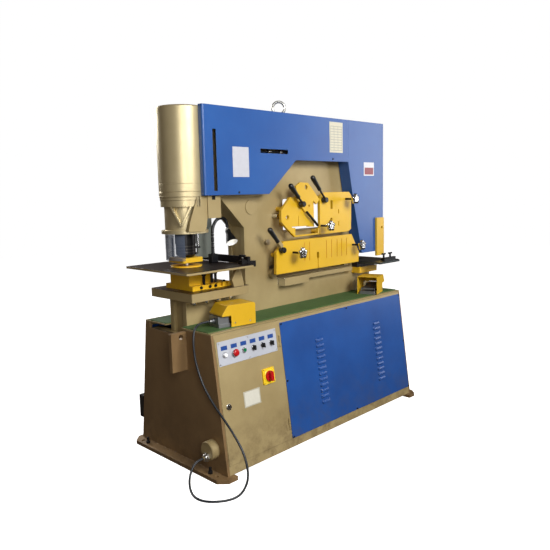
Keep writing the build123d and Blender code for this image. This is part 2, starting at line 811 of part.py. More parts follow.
# Bolster: thick bed plate on the column, held by round screws from below
with BuildPart() as bolster:
    add_box((bolster_left_x, bolster_front_y, bolster_low_z), (bolster_right_x, bolster_rear_y, bolster_top_z))
    chamfer(bolster.edges().filter_by(Axis.Z), 4)
    for i in range(4):
        screw_spot = (bolster_left_x + 26 + i * 84, bolster_front_y + 18, bolster_low_z - 7)
        add_rod(screw_spot, UPRIGHT, 13, 14)
    chamfer(bolster.edges().filter_by(GeomType.CIRCLE).group_by(Axis.Z)[0], 4)
save(bolster, "bolster")

# Punch cylinder: a ringed tube on a neck
axis_spot = (punch_x, frame_centre_y)
with BuildPart() as punch_cylinder:
    with BuildSketch(Plane.XZ.offset(-frame_centre_y)):
        Polygon(
            (punch_x, neck_low_z),
            (punch_x + neck_radius, neck_low_z),
            (punch_x + neck_radius, cylinder_low_z - 16),
            (punch_x + cylinder_radius - 3, cylinder_low_z - 16),
            (punch_x + cylinder_radius - 3, cylinder_low_z),
            (punch_x + cylinder_radius, cylinder_low_z),
            (punch_x + cylinder_radius, cylinder_low_z + 26),
            (punch_x + cylinder_radius - 2, cylinder_low_z + 29),
            (punch_x + cylinder_radius, cylinder_low_z + 32),
            (punch_x + cylinder_radius, cylinder_high_z - 6),
            (punch_x + cylinder_radius - 6, cylinder_high_z),
            (punch_x, cylinder_high_z),
            align=None,
        )
    revolve(axis=Axis((punch_x, frame_centre_y, 0), (0, 0, 1)))
    ram_top_z = cylinder_low_z + 12
    bore_top = ram_top_z + ram_stroke + 20
    with BuildSketch(Plane.XY.offset(neck_low_z)):
        with Locations(axis_spot):
            Circle(ram_radius + running_gap)
    extrude(amount=bore_top - neck_low_z, mode=Mode.SUBTRACT)
save(punch_cylinder, "punch_cylinder")

# Ram housing: hollow guide below the cylinder, with a V of ribs and a flange
rib_angle = 225
rib_out = Vector(cos(radians(rib_angle)), sin(radians(rib_angle)), 0)
rib_plane = Plane(
    origin=Vector(punch_x, frame_centre_y, 0) + rib_out * (rib_radius + 2),
    x_dir=(-rib_out.Y, rib_out.X, 0),
    z_dir=rib_out,
)
with BuildPart() as ribs:
    with BuildSketch(rib_plane):
        for turn in (-1, 1):
            Polygon(
                (turn * 60, neck_low_z),
                (turn * 48, neck_low_z),
                (turn * 0, housing_low_z + 34),
                (turn * 5, housing_low_z + 24),
                align=None,
            )
    extrude(amount=-60)
    rib_height = neck_low_z - housing_low_z
    rib_middle = (punch_x, frame_centre_y, housing_low_z + rib_height / 2)
    add_rod(rib_middle, UPRIGHT, rib_radius, rib_height - 2, Mode.INTERSECT)
    add_rod(rib_middle, UPRIGHT, housing_radius + seat_gap, rib_height + 2, Mode.SUBTRACT)
guide_rod_offset = (56, -40)
guide_rod_radius = 5
rod_spot = (punch_x + guide_rod_offset[0], frame_centre_y + guide_rod_offset[1])
with BuildPart() as ram_housing:
    with BuildSketch(Plane.XY.offset(housing_low_z - flange_thickness)):
        with Locations(axis_spot):
            Circle(flange_radius)
            Circle(ram_radius + running_gap, mode=Mode.SUBTRACT)
        with Locations(rod_spot):
            Circle(guide_rod_radius + running_gap, mode=Mode.SUBTRACT)
    extrude(amount=flange_thickness)
    with BuildSketch(Plane.XY.offset(housing_low_z)):
        with Locations(axis_spot):
            Circle(housing_radius)
            Circle(housing_radius - 14, mode=Mode.SUBTRACT)
    extrude(amount=neck_low_z - housing_low_z)
    add(ribs.part)
save(ram_housing, "ram_housing")

# Ram with its guide rod, the ringed coupling nut and the punch, drawn at the bottom of the stroke
nut_low_z = stripper_low_z + stripper_thickness + 4
nut_high_z = nut_low_z + 70
arm_low_z = nut_high_z - 26
punch_tip_z = table_top_z + 4
with BuildPart() as ram:
    add_rod((*axis_spot, (nut_high_z + ram_top_z) / 2), UPRIGHT, ram_radius, ram_top_z - nut_high_z)
    with BuildSketch(Plane.XZ.offset(-frame_centre_y)):
        Polygon(
            (punch_x, nut_low_z),
            (punch_x + nut_radius - 10, nut_low_z),
            (punch_x + nut_radius, nut_low_z + 12),
            (punch_x + nut_radius, nut_high_z),
            (punch_x, nut_high_z),
            align=None,
        )
    revolve(axis=Axis((punch_x, frame_centre_y, 0), (0, 0, 1)))
    arm_end = (rod_spot[0] + 8, rod_spot[1] - 8)
    with BuildSketch(Plane.XY.offset(arm_low_z)):
        with BuildLine():
            Line(axis_spot, arm_end)
        trace(line_width=20)
    extrude(amount=12)
save(ram, "ram")

with BuildPart() as guide_rod:
    rod_low_z = arm_low_z + 12
    rod_high_z = neck_low_z - 17 - ram_stroke - 10
    add_rod((*rod_spot, (rod_low_z + rod_high_z) / 2), UPRIGHT, guide_rod_radius, rod_high_z - rod_low_z)
    add_rod((*axis_spot, (punch_tip_z + nut_low_z) / 2), UPRIGHT, punch_radius, nut_low_z - punch_tip_z)
save(guide_rod, "punch_and_rod")

# Stripper arm on the rear frame plate, and the stripper block in front of it
arm_front_y = frame_rear_y
arm_thickness = 15
stripper_high_z = stripper_low_z + stripper_thickness
hinge_x = punch_x - 10
hinge_y = frame_centre_y + shield_radius + 2
hinge_radius = 5
with BuildPart() as stripper_arm:
    add_box((-620, arm_front_y, stripper_low_z), (-512, arm_front_y + arm_thickness, neck_low_z + 63))
    add_box((-800, arm_front_y, stripper_low_z), (-512, arm_front_y + arm_thickness, stripper_high_z))
    for x in (-596, -536):
        add_rod((x, arm_front_y + arm_thickness + 5, neck_low_z + 43), ALONG_Y, 11, 10)
    add_box((hinge_x - 10, arm_front_y, stripper_low_z), (hinge_x + 10, hinge_y, stripper_low_z + 14))
    add_rod((hinge_x, hinge_y, stripper_low_z + 7), UPRIGHT, 10, 14)
    add_rod((hinge_x, hinge_y, stripper_low_z + 65), UPRIGHT, hinge_radius, 130)
save(stripper_arm, "stripper_arm")

with BuildPart() as stripper:
    half = stripper_size / 2
    front = arm_front_y - seat_gap - stripper_size
    add_box((punch_x - half, front, stripper_low_z), (punch_x + half, arm_front_y - seat_gap, stripper_high_z))
    chamfer(stripper.edges().filter_by(Axis.Z), 6)
    add_rod((*axis_spot, stripper_low_z), UPRIGHT, punch_radius + 4, 4 * stripper_thickness, Mode.SUBTRACT)
save(stripper, "stripper")

# Clear shield: a curved sheet that swings on the pin behind the ram
with BuildPart() as punch_shield:
    shield_low_z = stripper_low_z + 14 + 1
    shield_high_z = housing_low_z - flange_thickness - 5
    span = shield_last_angle - shield_first_angle
    with BuildSketch(Plane.XY.offset(shield_low_z)):
        with BuildLine():
            CenterArc(axis_spot, shield_radius, shield_first_angle, span)
        trace(line_width=shield_thickness)
        with Locations((hinge_x, hinge_y)):
            Circle(hinge_radius + 5)
        with BuildLine():
            first = radians(shield_first_angle + 3)
            Line(
                (hinge_x, hinge_y + 3),
                (punch_x + shield_radius * cos(first), frame_centre_y + shield_radius * sin(first)),
            )
        trace(line_width=shield_thickness)
        with Locations((hinge_x, hinge_y)):
            Circle(hinge_radius + running_gap, mode=Mode.SUBTRACT)
    extrude(amount=shield_high_z - shield_low_z)
save(punch_shield, "punch_shield")

# Punch table on two brackets from the bolster
with BuildPart() as punch_table:
    with BuildSketch(Plane.XY.offset(table_low_z)):
        with Locations(((table_left_x + table_right_x) / 2, (table_front_y + table_rear_y) / 2)):
            RectangleRounded(table_right_x - table_left_x, table_rear_y - table_front_y, 6)
        with Locations(axis_spot):
            Circle(die_ring_radius + 2, mode=Mode.SUBTRACT)
    extrude(amount=table_thickness)
    for y in (bolster_front_y + 6, bolster_rear_y - 26):
        with BuildSketch(front_plane(y)):
            Polygon(
                (-500, bolster_top_z),
                (-575, bolster_top_z),
                (-590, bolster_top_z + 42),
                (-545, table_low_z),
                (-528, table_low_z),
                align=None,
            )
        extrude(amount=-20)
save(punch_table, "punch_table")

# Fence rail across the table, with its end clamp and locking knobs
with BuildPart() as table_fence:
    rail_front_y = table_front_y + 58
    rail_rear_y = table_rear_y - 11
    rail_x = table_right_x + 7
    add_box((rail_x, rail_front_y, table_top_z), (rail_x + 20, rail_rear_y, table_top_z + 40))
    add_box((rail_x + 20, rail_front_y, table_low_z - 8), (rail_x + 62, rail_front_y + 40, table_top_z + 14))
    for y in (rail_front_y + 20, rail_rear_y - 30):
        add_box((rail_x - 40, y - 16, table_top_z + seat_gap), (rail_x, y + 16, table_top_z + 22))
        add_rod((rail_x - 22, y, table_top_z + 34), UPRIGHT, 7, 30)
        add_rod((rail_x - 22, y, table_top_z + 48), ALONG_Y, 6, 44)
save(table_fence, "table_fence")

# Die holder on the bolster: a slotted base, the holder block, and the die ring in the table
base_left_x = -818
base_right_x = -541
base_front_y = -96
base_rear_y = 150
base_top_z = bolster_top_z + 26
with BuildPart() as die_holder:
    add_box((base_left_x, base_front_y, bolster_top_z), (base_right_x, base_rear_y, base_top_z))
    for i in range(4):
        x = -700 + i * 40
        slot_far = (x + 14, base_front_y + 30, base_top_z + 1)
        add_box((x, base_front_y - 1, bolster_top_z + 6), slot_far, Mode.SUBTRACT)
    holder_top_z = bolster_top_z + 92
    add_box((-818, -66, base_top_z), (-716, 104, holder_top_z))
    for y in (-30, 30):
        add_rod((-767, y, holder_top_z), ALONG_X, 9, 200, Mode.SUBTRACT)
    die_seat_z = bolster_top_z + 78
    add_box((-716, -40, base_top_z), (-640, 90, die_seat_z))
    add_rod((*axis_spot, (die_seat_z + table_low_z) / 2 + 3), UPRIGHT, 62, table_low_z - die_seat_z + 6)
    add_rod((*axis_spot, (table_low_z + table_top_z + 6) / 2), UPRIGHT, die_ring_radius, table_thickness + 6)
    add_rod((*axis_spot, die_seat_z), UPRIGHT, punch_radius + 1, 400, Mode.SUBTRACT)
    for x, y in ((-728, -82), (-655, -60), (-628, -60)):
        add_rod((x, y, base_top_z + 33), UPRIGHT, 8, 66)
        add_rod((x, y, base_top_z + 58), UPRIGHT, 12, 16)
save(die_holder, "die_holder")

# Blue guards: folded sheet over the frame plates
guard_rear_y = 2 * frame_centre_y - guard_front_y
cut_low_x = -269
cut_high_x = -26
cut_low_z = cabinet_height + 702
cut_high_z = cabinet_height + 908
with BuildPart() as guard_front:
    with BuildSketch(Plane.XY.offset(guard_low_z)) as footprint:
        Polygon(
            (guard_left_x, guard_front_y),
            (cover_seam_x - seat_gap, guard_front_y),
            (cover_seam_x - seat_gap, frame_centre_y - seat_gap),
            (guard_left_x, frame_centre_y - seat_gap),
            align=None,
        )
        fillet(footprint.vertices().sort_by(Axis.X)[0:2].sort_by(Axis.Y)[0], guard_bend_radius)
    extrude(amount=guard_top_z - guard_low_z)
    with BuildSketch(Plane.XY.offset(guard_low_z)) as hollow:
        Polygon(
            (guard_left_x + sheet, guard_front_y + sheet),
            (cover_seam_x, guard_front_y + sheet),
            (cover_seam_x, frame_centre_y),
            (guard_left_x + sheet, frame_centre_y),
            align=None,
        )
        fillet(hollow.vertices().sort_by(Axis.X)[0:2].sort_by(Axis.Y)[0], guard_bend_radius - sheet)
    extrude(amount=guard_top_z - guard_low_z - sheet, mode=Mode.SUBTRACT)
    with BuildSketch(front_plane(guard_front_y - 1)):
        Polygon(
            (cut_low_x, cut_low_z - 40),
            (cut_low_x, cut_low_z),
            (cut_high_x, cut_high_z),
            (cover_seam_x, cut_high_z),
            (cover_seam_x, cut_low_z - 40),
            align=None,
        )
    extrude(amount=-2 * sheet, mode=Mode.SUBTRACT)
    with BuildSketch(front_plane(guard_front_y - 1)):
        with Locations((punch_slot_x, punch_slot_z)):
            RectangleRounded(stroke_slot_width, punch_slot_length, 4)
        with Locations((shear_slot_x, shear_slot_z)):
            RectangleRounded(shear_slot_length, stroke_slot_width, 4)
    extrude(amount=-2 * sheet, mode=Mode.SUBTRACT)
    add_rod((*axis_spot, guard_top_z - 200), UPRIGHT, cylinder_radius + seat_gap, 800, Mode.SUBTRACT)
    add_rod((0, frame_centre_y, guard_top_z), UPRIGHT, 24, 20, Mode.SUBTRACT)
save(guard_front, "guard_front")

# The rear sheet is the front one's mirror image with its two slots closed
with BuildPart() as guard_rear:
    add(mirror(guard_front.part, about=Plane.XZ.offset(-frame_centre_y)))
    with BuildSketch(front_plane(guard_rear_y - sheet)):
        with Locations((punch_slot_x, punch_slot_z)):
            RectangleRounded(stroke_slot_width, punch_slot_length, 4)
        with Locations((shear_slot_x, shear_slot_z)):
            RectangleRounded(shear_slot_length, stroke_slot_width, 4)
    extrude(amount=-sheet)
save(guard_rear, "guard_rear")

# Right-hand cover: front, end and rear in one, with the slanted edge turned inwards
cover_outline = [
    (cover_seam_x, guard_top_z),
    (cover_seam_x, cut_high_z + 3),
    (cover_seam_x + 40, cabinet_height + 721),
    (frame_right_x - 211, cover_low_z),
    (cover_end_x, cover_low_z),
    (cover_end_x, guard_top_z),
]
cover_inner = [
    (cover_seam_x + sheet, guard_top_z - sheet),
    (cover_seam_x + sheet, cut_high_z + 3),
    (cover_seam_x + 40 + sheet, cabinet_height + 721),
    (frame_right_x - 211 + sheet, cover_low_z - 1),
    (cover_end_x - sheet, cover_low_z - 1),
    (cover_end_x - sheet, guard_top_z - sheet),
]
flange_back_y = -55
with BuildPart() as guard_end:
    depth = guard_rear_y - guard_front_y
    with BuildSketch(front_plane(guard_front_y)):
        Polygon(*cover_outline, align=None)
    extrude(amount=-depth)
    with BuildSketch(front_plane(guard_front_y + sheet)):
        Polygon(*cover_inner, align=None)
    extrude(amount=-(depth - 2 * sheet), mode=Mode.SUBTRACT)
    rear_flange_y = 2 * frame_centre_y - flange_back_y
    inside_low = (cover_seam_x - 92, flange_back_y, cover_low_z - 1)
    add_box(inside_low, (frame_right_x - 152, rear_flange_y, guard_top_z - sheet), Mode.SUBTRACT)
save(guard_end, "guard_end")

# Lifting eye bolt on the frame's top tie
eye_radius = 38
eye_bar = 8
eye_z = guard_top_z + 8 + eye_radius + eye_bar
with BuildPart() as eye_bolt:
    eye_turn = Location((0, frame_centre_y, eye_z), (0, 0, -45)) * Location((0, 0, 0), (90, 0, 0))
    with Locations(eye_turn):
        Torus(eye_radius, eye_bar)
    add_rod((0, frame_centre_y, guard_top_z + 5), UPRIGHT, 23, 10)
    add_rod((0, frame_centre_y, guard_top_z + 14), UPRIGHT, 12, 16)
    add_rod((0, frame_centre_y, (frame_top_z + guard_top_z) / 2), UPRIGHT, 15, guard_top_z - frame_top_z)
save(eye_bolt, "eye_bolt")

# Shear: the rocking beam on its pin between the frame plates, with its blades
beam_front_y = gap_front_y + 1
beam_thickness = frame_gap - 2
blade_rake = (blade_right_z - blade_left_z) / (blade_right_x - blade_left_x)


def rake_z(x, above=0):
    """Height of the upper blade's cutting edge at a place along it."""
    return blade_left_z + (x - blade_left_x) * blade_rake + above


beam_lift = 26
rabbet_back_y = gap_front_y + blade_thickness + 2
with BuildPart() as shear_beam:
    with BuildSketch(front_plane(beam_front_y)):
        Polygon(
            (pivot_x, pivot_z + beam_end_radius),
            (pivot_x + 210, beam_top_z),
            (beam_right_x, beam_top_z),
            (beam_right_x, beam_roof_z),
            (notch_mouth_x + 20, beam_roof_z),
            (blade_right_x + 5, rake_z(blade_right_x, beam_lift)),
            (blade_left_x - 7, rake_z(blade_left_x, beam_lift)),
            (pivot_x + 80, pivot_z - 60),
            (pivot_x, pivot_z - beam_end_radius),
            align=None,
        )
        with Locations((pivot_x, pivot_z)):
            Circle(beam_end_radius)
            Circle(pivot_radius + running_gap, mode=Mode.SUBTRACT)
        left, right, low_z, high_z = upper_window
        with Locations(((left + right) / 2, (low_z + high_z) / 2)):
            RectangleRounded(right - left, high_z - low_z, window_radius, mode=Mode.SUBTRACT)
    extrude(amount=-beam_thickness)
    with BuildSketch(front_plane(beam_front_y)):
        Polygon(
            (blade_left_x - 60, rake_z(blade_left_x - 60, blade_height)),
            (blade_right_x + 60, rake_z(blade_right_x + 60, blade_height)),
            (blade_right_x + 60, rake_z(blade_right_x + 60)),
            (blade_left_x - 60, rake_z(blade_left_x - 60)),
            align=None,
        )
    extrude(amount=beam_front_y - rabbet_back_y, mode=Mode.SUBTRACT)
save(shear_beam, "shear_beam")

with BuildPart() as beam_tools:
    with BuildSketch(front_plane(beam_front_y)):
        Polygon(
            (blade_left_x, rake_z(blade_left_x)),
            (blade_right_x, rake_z(blade_right_x)),
            (blade_right_x, rake_z(blade_right_x, blade_height)),
            (blade_left_x, rake_z(blade_left_x, blade_height)),
            align=None,
        )
    extrude(amount=-(blade_thickness - 1))
    punch_left_x = frame_right_x - 137
    punch_right_x = punch_left_x + 110
    add_box((punch_left_x, gap_front_y + 6, beam_roof_z - 83), (punch_right_x, gap_rear_y - 6, beam_roof_z))
save(beam_tools, "beam_tools")

# Shear cylinder under the top tie, and its rod on the beam
cylinder_seat_z = frame_top_z - web_thickness
rod_low_z = beam_top_z + rod_rest_gap
with BuildPart() as shear_cylinder:
    add_rod((shear_rod_x, frame_centre_y, cylinder_seat_z - 105), UPRIGHT, frame_gap / 2 - 1, 210)
    bore_high_z = cylinder_seat_z - 20
    low = cylinder_seat_z - 211
    bore_middle = (shear_rod_x, frame_centre_y, (low + bore_high_z) / 2)
    add_rod(bore_middle, UPRIGHT, shear_rod_radius + running_gap, bore_high_z - low, Mode.SUBTRACT)
save(shear_cylinder, "shear_cylinder")

with BuildPart() as shear_rod:
    rod_high_z = cylinder_seat_z - 40
    straight_low_z = rod_low_z + shear_rod_radius
    rod_middle = (shear_rod_x, frame_centre_y, (straight_low_z + rod_high_z) / 2)
    add_rod(rod_middle, UPRIGHT, shear_rod_radius, rod_high_z - straight_low_z)
    with Locations((shear_rod_x, frame_centre_y, rod_low_z + shear_rod_radius)):
        Sphere(shear_rod_radius)
save(shear_rod, "shear_rod")

# Notcher: die block in the frame's mouth, its table, and the yellow stripper plate
die_front_y = -120
die_rear_y = 168
notch_opening = (frame_right_x - 180, frame_right_x - 10)
with BuildPart() as notcher:
    block_high_z = notch_bed_z + 42
    add_box((notch_mouth_x + seat_gap, die_front_y, notch_bed_z), (frame_right_x - 2, die_rear_y, block_high_z))
    die_inset = 22
    add_box(
        (notch_mouth_x + seat_gap, die_front_y + die_inset, block_high_z),
        (frame_right_x - 2, die_rear_y - die_inset, notch_table_top_z - table_thickness),
    )
    add_box(
        (notch_opening[0], gap_front_y + 2, notch_bed_z - 1),
        (notch_opening[1], gap_rear_y - 2, notch_table_top_z),
        Mode.SUBTRACT,
    )
    with BuildSketch(front_plane(guard_front_y - seat_gap - 16)):
        left = frame_right_x - 52
        right = frame_right_x + 36
        upright = over_deck((left, 521), (left, 248), (right, 248), (right, 514), (right - 7, 521))
        Polygon(*upright, align=None)
        with Locations((frame_right_x + 10, cabinet_height + 448)):
            Circle(9, mode=Mode.SUBTRACT)
    extrude(amount=-16)
save(notcher, "notcher")

with BuildPart() as notch_table:
    low_z = notch_table_top_z - table_thickness
    with BuildSketch(Plane.XY.offset(low_z)):
        Polygon(
            (notch_table_left_x, notch_table_front_y),
            (notch_table_right_x - 40, notch_table_front_y),
            (notch_table_right_x, notch_table_front_y + 40),
            (notch_table_right_x, notch_table_rear_y),
            (notch_table_left_x, notch_table_rear_y),
            align=None,
        )
        middle_x = (notch_opening[0] + notch_opening[1]) / 2
        with Locations((middle_x, frame_centre_y)):
            Rectangle(notch_opening[1] - notch_opening[0], frame_gap - 4, mode=Mode.SUBTRACT)
    extrude(amount=table_thickness)
    stop_left_x = notch_table_right_x - 170
    add_box((stop_left_x, -250, notch_table_top_z), (stop_left_x + 140, -232, notch_table_top_z + 22))
    for x in (stop_left_x + 30, stop_left_x + 110):
        add_rod((x, -222, notch_table_top_z + 25), UPRIGHT, 7, 50)
        add_rod((x, -222, notch_table_top_z + 46), ALONG_X, 6, 40)
        add_box((x - 14, -234, notch_table_top_z), (x + 14, -208, notch_table_top_z + 16))
save(notch_table, "notch_table")

# Hold-downs: thick yellow plates on posts in front of the frame
post_length = frame_front_y - hold_down_front_y - hold_down_thickness


def add_posts(spots):
    """Round posts from a hold-down's back to the frame plate."""
    middle_y = frame_front_y - post_length / 2
    for x, z in spots:
        add_rod((x, middle_y, z), ALONG_Y, standoff_radius, post_length)


hold_down_flat_plate = plate(
    over_deck(
        (-141, 419),
        (-208, 360),
        (-214, 222),
        (blade_right_x + 25, 222),
        (blade_right_x + 31, 289),
        (blade_right_x - 54, 421),
    ),
    hold_down_front_y,
    hold_down_thickness,
    4,
)
with BuildPart() as hold_down_flat:
    add(hold_down_flat_plate)
    with BuildSketch(front_plane(hold_down_front_y)):
        with Locations((175, cabinet_height + 306)):
            SlotOverall(46, 22, rotation=90)
    extrude(amount=-hold_down_thickness, mode=Mode.SUBTRACT)
    with BuildSketch(front_plane(hold_down_front_y)):
        with Locations((175, cabinet_height + 244)):
            Rectangle(9, 80)
    extrude(amount=-5, mode=Mode.SUBTRACT)
    with BuildSketch(front_plane(hold_down_front_y)):
        for x in (45, 92, 261, 313, 371, 420, 474):
            with Locations((x, cabinet_height + 339)):
                SlotOverall(120, 7, rotation=90)
    extrude(amount=-3, mode=Mode.SUBTRACT)
    add_posts(over_deck((-160, 334), (blade_right_x - 25, 314), (30, 384), (380, 384)))
save(hold_down_flat, "hold_down_flat")

bar_left_x = 199
hold_down_bar_plate = plate(
    over_deck((bar_left_x, 439), (bar_left_x, 684), (243, 710), (507, 710), (532, 683), (527, 459), (499, 442)),
    hold_down_front_y,
    hold_down_thickness,
    4,
)
with BuildPart() as hold_down_bar:
    add(hold_down_bar_plate)
    with BuildSketch(front_plane(hold_down_front_y)):
        with Locations((319, cabinet_height + 628)):
            Rectangle(22, 56)
        with Locations((313, cabinet_height + 523)):
            SlotOverall(40, 24, rotation=70)
    extrude(amount=-hold_down_thickness, mode=Mode.SUBTRACT)
    with BuildSketch(front_plane(hold_down_front_y)):
        for x, z in over_deck((391, 581), (391, 501)):
            with Locations((x, z)):
                SlotOverall(30, 9, rotation=90)
    extrude(amount=-6, mode=Mode.SUBTRACT)
    add_posts(over_deck((500, 694), (500, 459), (220, 459)))
save(hold_down_bar, "hold_down_bar")

hold_down_angle_plate = plate(
    over_deck(
        (-75, 686),
        (-158, 607),
        (-159, 537),
        (-112, 496),
        (-41, 439),
        (194, 441),
        (194, 478),
        (140, 496),
        (140, 686),
    ),
    hold_down_front_y,
    hold_down_thickness,
    3,
)
with BuildPart() as hold_down_angle:
    add(hold_down_angle_plate)
    with BuildSketch(front_plane(hold_down_front_y)):
        with Locations((-105, cabinet_height + 563)):
            Circle(13)
        slot_points = [(-66, 504), (88, 502), (88, 496), (176, 492), (176, 450), (-36, 448), (-36, 496), (-66, 498)]
        Polygon(*over_deck(*slot_points), align=None)
        with Locations((165, cabinet_height + 465)):
            Circle(11)
    extrude(amount=-hold_down_thickness, mode=Mode.SUBTRACT)
    with BuildSketch(front_plane(hold_down_front_y)):
        with Locations((-6, cabinet_height + 537)):
            Rectangle(5, 60)
    extrude(amount=-4, mode=Mode.SUBTRACT)
    add_posts(over_deck((-110, 614), (-80, 524)))

swivel_front_y = hold_down_front_y - swivel_thickness
hold_down_swivel_plate = plate(
    over_deck((-36, 753), (2, 775), (76, 771), (184, 666), (152, 634), (128, 658), (48, 586), (-34, 670)),
    swivel_front_y,
    swivel_thickness,
    4,
)
with hold_down_angle:
    add(hold_down_swivel_plate)
    with BuildSketch(front_plane(swivel_front_y)):
        with Locations((57, cabinet_height + 744)):
            Circle(13)
        with Locations((80, cabinet_height + 626)):
            Circle(9)
    extrude(amount=-swivel_thickness, mode=Mode.SUBTRACT)
save(hold_down_angle, "hold_down_angle")

# Star knobs on long studs, one turning in each hold-down: X and height above the cabinet
knob_spots = {
    "star_knob_bar": (468, 662),
    "star_knob_angle": (209, 496),
    "star_knob_left": (-62, 345),
    "star_knob_right": (blade_right_x - 43, 347),
}
for name, (x, rise) in knob_spots.items():
    z = cabinet_height + rise
    face_y = hold_down_front_y
    tip_y = face_y - knob_reach
    with BuildPart() as star_knob:
        add_rod((x, (face_y - seat_gap + tip_y) / 2, z), ALONG_Y, 7, face_y - seat_gap - tip_y)
        with BuildSketch(front_plane(tip_y)):
            with Locations((x, z)):
                Circle(knob_radius * 0.62)
                with PolarLocations(knob_radius * 0.62, 5, start_angle=18):
                    Circle(knob_radius * 0.38)
        extrude(amount=-knob_thickness)
        add_rod((x, tip_y + knob_thickness + 5, z), ALONG_Y, 13, 10)
    save(star_knob, name)

# Clamp levers with black grips
lever_spots = {
    "lever_flat": ((-169, 369), (-214, 421), hold_down_front_y),
    "lever_angle": ((2, 641), (-36, 680), swivel_front_y),
    "lever_bar": ((233, 661), (176, 726), hold_down_front_y),
}
for name, (hub, start, face_y) in lever_spots.items():
    hub, start = over_deck(hub, start)
    reach_x = start[0] - hub[0]
    reach_z = start[1] - hub[1]
    length = sqrt(reach_x**2 + reach_z**2)
    way = (reach_x / length, reach_z / length)
    lean = degrees(atan(reach_x / reach_z))
    centre_y = face_y - 22
    total = length + grip_length
    with BuildPart() as lever:
        add_rod((hub[0], face_y - seat_gap - 17, hub[1]), ALONG_Y, 20, 34)
        arm_middle = (hub[0] + way[0] * total / 2, centre_y, hub[1] + way[1] * total / 2)
        add_rod(arm_middle, (0, lean, 0), 7, total)
        grip_at = length + grip_length / 2
        grip_middle = (hub[0] + way[0] * grip_at, centre_y, hub[1] + way[1] * grip_at)
        add_rod(grip_middle, (0, lean, 0), grip_radius, grip_length)
        round_edges = lever.edges().filter_by(GeomType.CIRCLE)
        fillet(round_edges.filter_by(lambda e: abs(e.radius - grip_radius) < 0.1), 5)
    save(lever, name)

# Foot pedals: a cast base with a terminal end, a folded hood and a treadle
pedal_places = {
    "left": Location((-531.6, -225.3, mat_top_z), (0, 0, 169)),
    "right": Location((573.1, -233.6, mat_top_z), (0, 0, 20.8)),
}
terminal_start = pedal_length - 52
terminal_end = pedal_length + 14
gland_length = 28
pedal_gland_z = 32
with BuildPart() as pedal_base:
    with BuildSketch(Plane.XY):
        with Locations((terminal_end / 2, 0)):
            RectangleRounded(terminal_end, pedal_width - 28, 6)
    extrude(amount=pedal_base_height)
    add_box((terminal_start, -50, pedal_base_height), (terminal_end, 50, 58))
    add_box((26, -50, pedal_base_height), (38, -42, 40))
    add_box((26, 42, pedal_base_height), (38, 50, 40))
    add_rod((terminal_end + gland_length / 2, 0, pedal_gland_z), ALONG_X, 12, gland_length)
    add_rod((terminal_end + 7, 0, pedal_gland_z), ALONG_X, 16, 10)
with BuildPart() as pedal_hood:
    with BuildSketch(front_plane(0)) as side_view:
        Polygon(
            (0, 0),
            (0, pedal_height),
            (pedal_length - 36, pedal_height),
            (pedal_length, pedal_height - 50),
            (pedal_length, 62),
            (pedal_length - 56, 62),
            (pedal_length - 56, 0),
            align=None,
        )
        fillet(side_view.vertices().group_by(Axis.Y)[-1], 14)
    extrude(amount=pedal_width / 2, both=True)
    with BuildSketch(front_plane(0)) as inside:
        Polygon(
            (-1, -1),
            (-1, pedal_height - sheet),
            (pedal_length - 37, pedal_height - sheet),
            (pedal_length - sheet, pedal_height - 51),
            (pedal_length - sheet, 61),
            (pedal_length - 56 - sheet, 61),
            (pedal_length - 56 - sheet, -1),
            align=None,
        )
    extrude(amount=pedal_width / 2 - sheet, both=True, mode=Mode.SUBTRACT)
    inner_half = pedal_width / 2 - sheet
    add_box((pedal_length - 60, -inner_half, -1), (pedal_length - 50, inner_half, 61), Mode.SUBTRACT)
with BuildPart() as pedal_treadle:
    treadle_z = 34
    treadle_hinge_x = 32
    with BuildSketch(front_plane(0)):
        Polygon(
            (treadle_hinge_x - 8, treadle_z - 5),
            (treadle_hinge_x - 8, treadle_z + 5),
            (terminal_start - 14, treadle_z + 26),
            (terminal_start - 14, treadle_z + 18),
            align=None,
        )
    extrude(amount=38, both=True)
    add_rod((treadle_hinge_x, 0, treadle_z), ALONG_Y, 4, 2 * 41.6)

with BuildPart() as pedal_bases:
    for place in pedal_places.values():
        with Locations(place):
            add(pedal_base.part)
save(pedal_bases, "pedal_bases")
with BuildPart() as pedal_hoods:
    for place in pedal_places.values():
        with Locations(place):
            add(pedal_hood.part)
save(pedal_hoods, "pedal_hoods")
for name, place in pedal_places.items():
    with BuildPart() as treadle:
        with Locations(place):
            add(pedal_treadle.part)
    save(treadle, f"treadle_{name}")

# Work lamp: a magnetic base on the table, a flexible neck and a conical shade
lamp_y = 20
lamp_base_x = -573
lamp_base_height = 58
shade_x = -460
shade_top_z = cabinet_height + 506
shade_low_z = cabinet_height + 424
with BuildPart() as lamp_base:
    base_z = table_top_z
    add_box((lamp_base_x - 22, lamp_y - 22, base_z), (lamp_base_x + 22, lamp_y + 22, base_z + lamp_base_height))
    chamfer(lamp_base.edges().filter_by(Axis.Z), 4)
    neck_points = [
        (lamp_base_x, lamp_y, base_z + lamp_base_height),
        (lamp_base_x, lamp_y, base_z + 202),
        (lamp_base_x + 38, lamp_y, base_z + 254),
        (lamp_base_x + 92, lamp_y, base_z + 254),
        (shade_x, lamp_y, base_z + 224),
        (shade_x, lamp_y, shade_top_z + 14),
    ]
    with BuildLine():
        neck = FilletPolyline(*neck_points, radius=[30, 30, 30, 12])
    with BuildSketch(Plane(origin=neck @ 0, z_dir=neck % 0)):
        Circle(7)
    sweep()
save(lamp_base, "lamp_base")

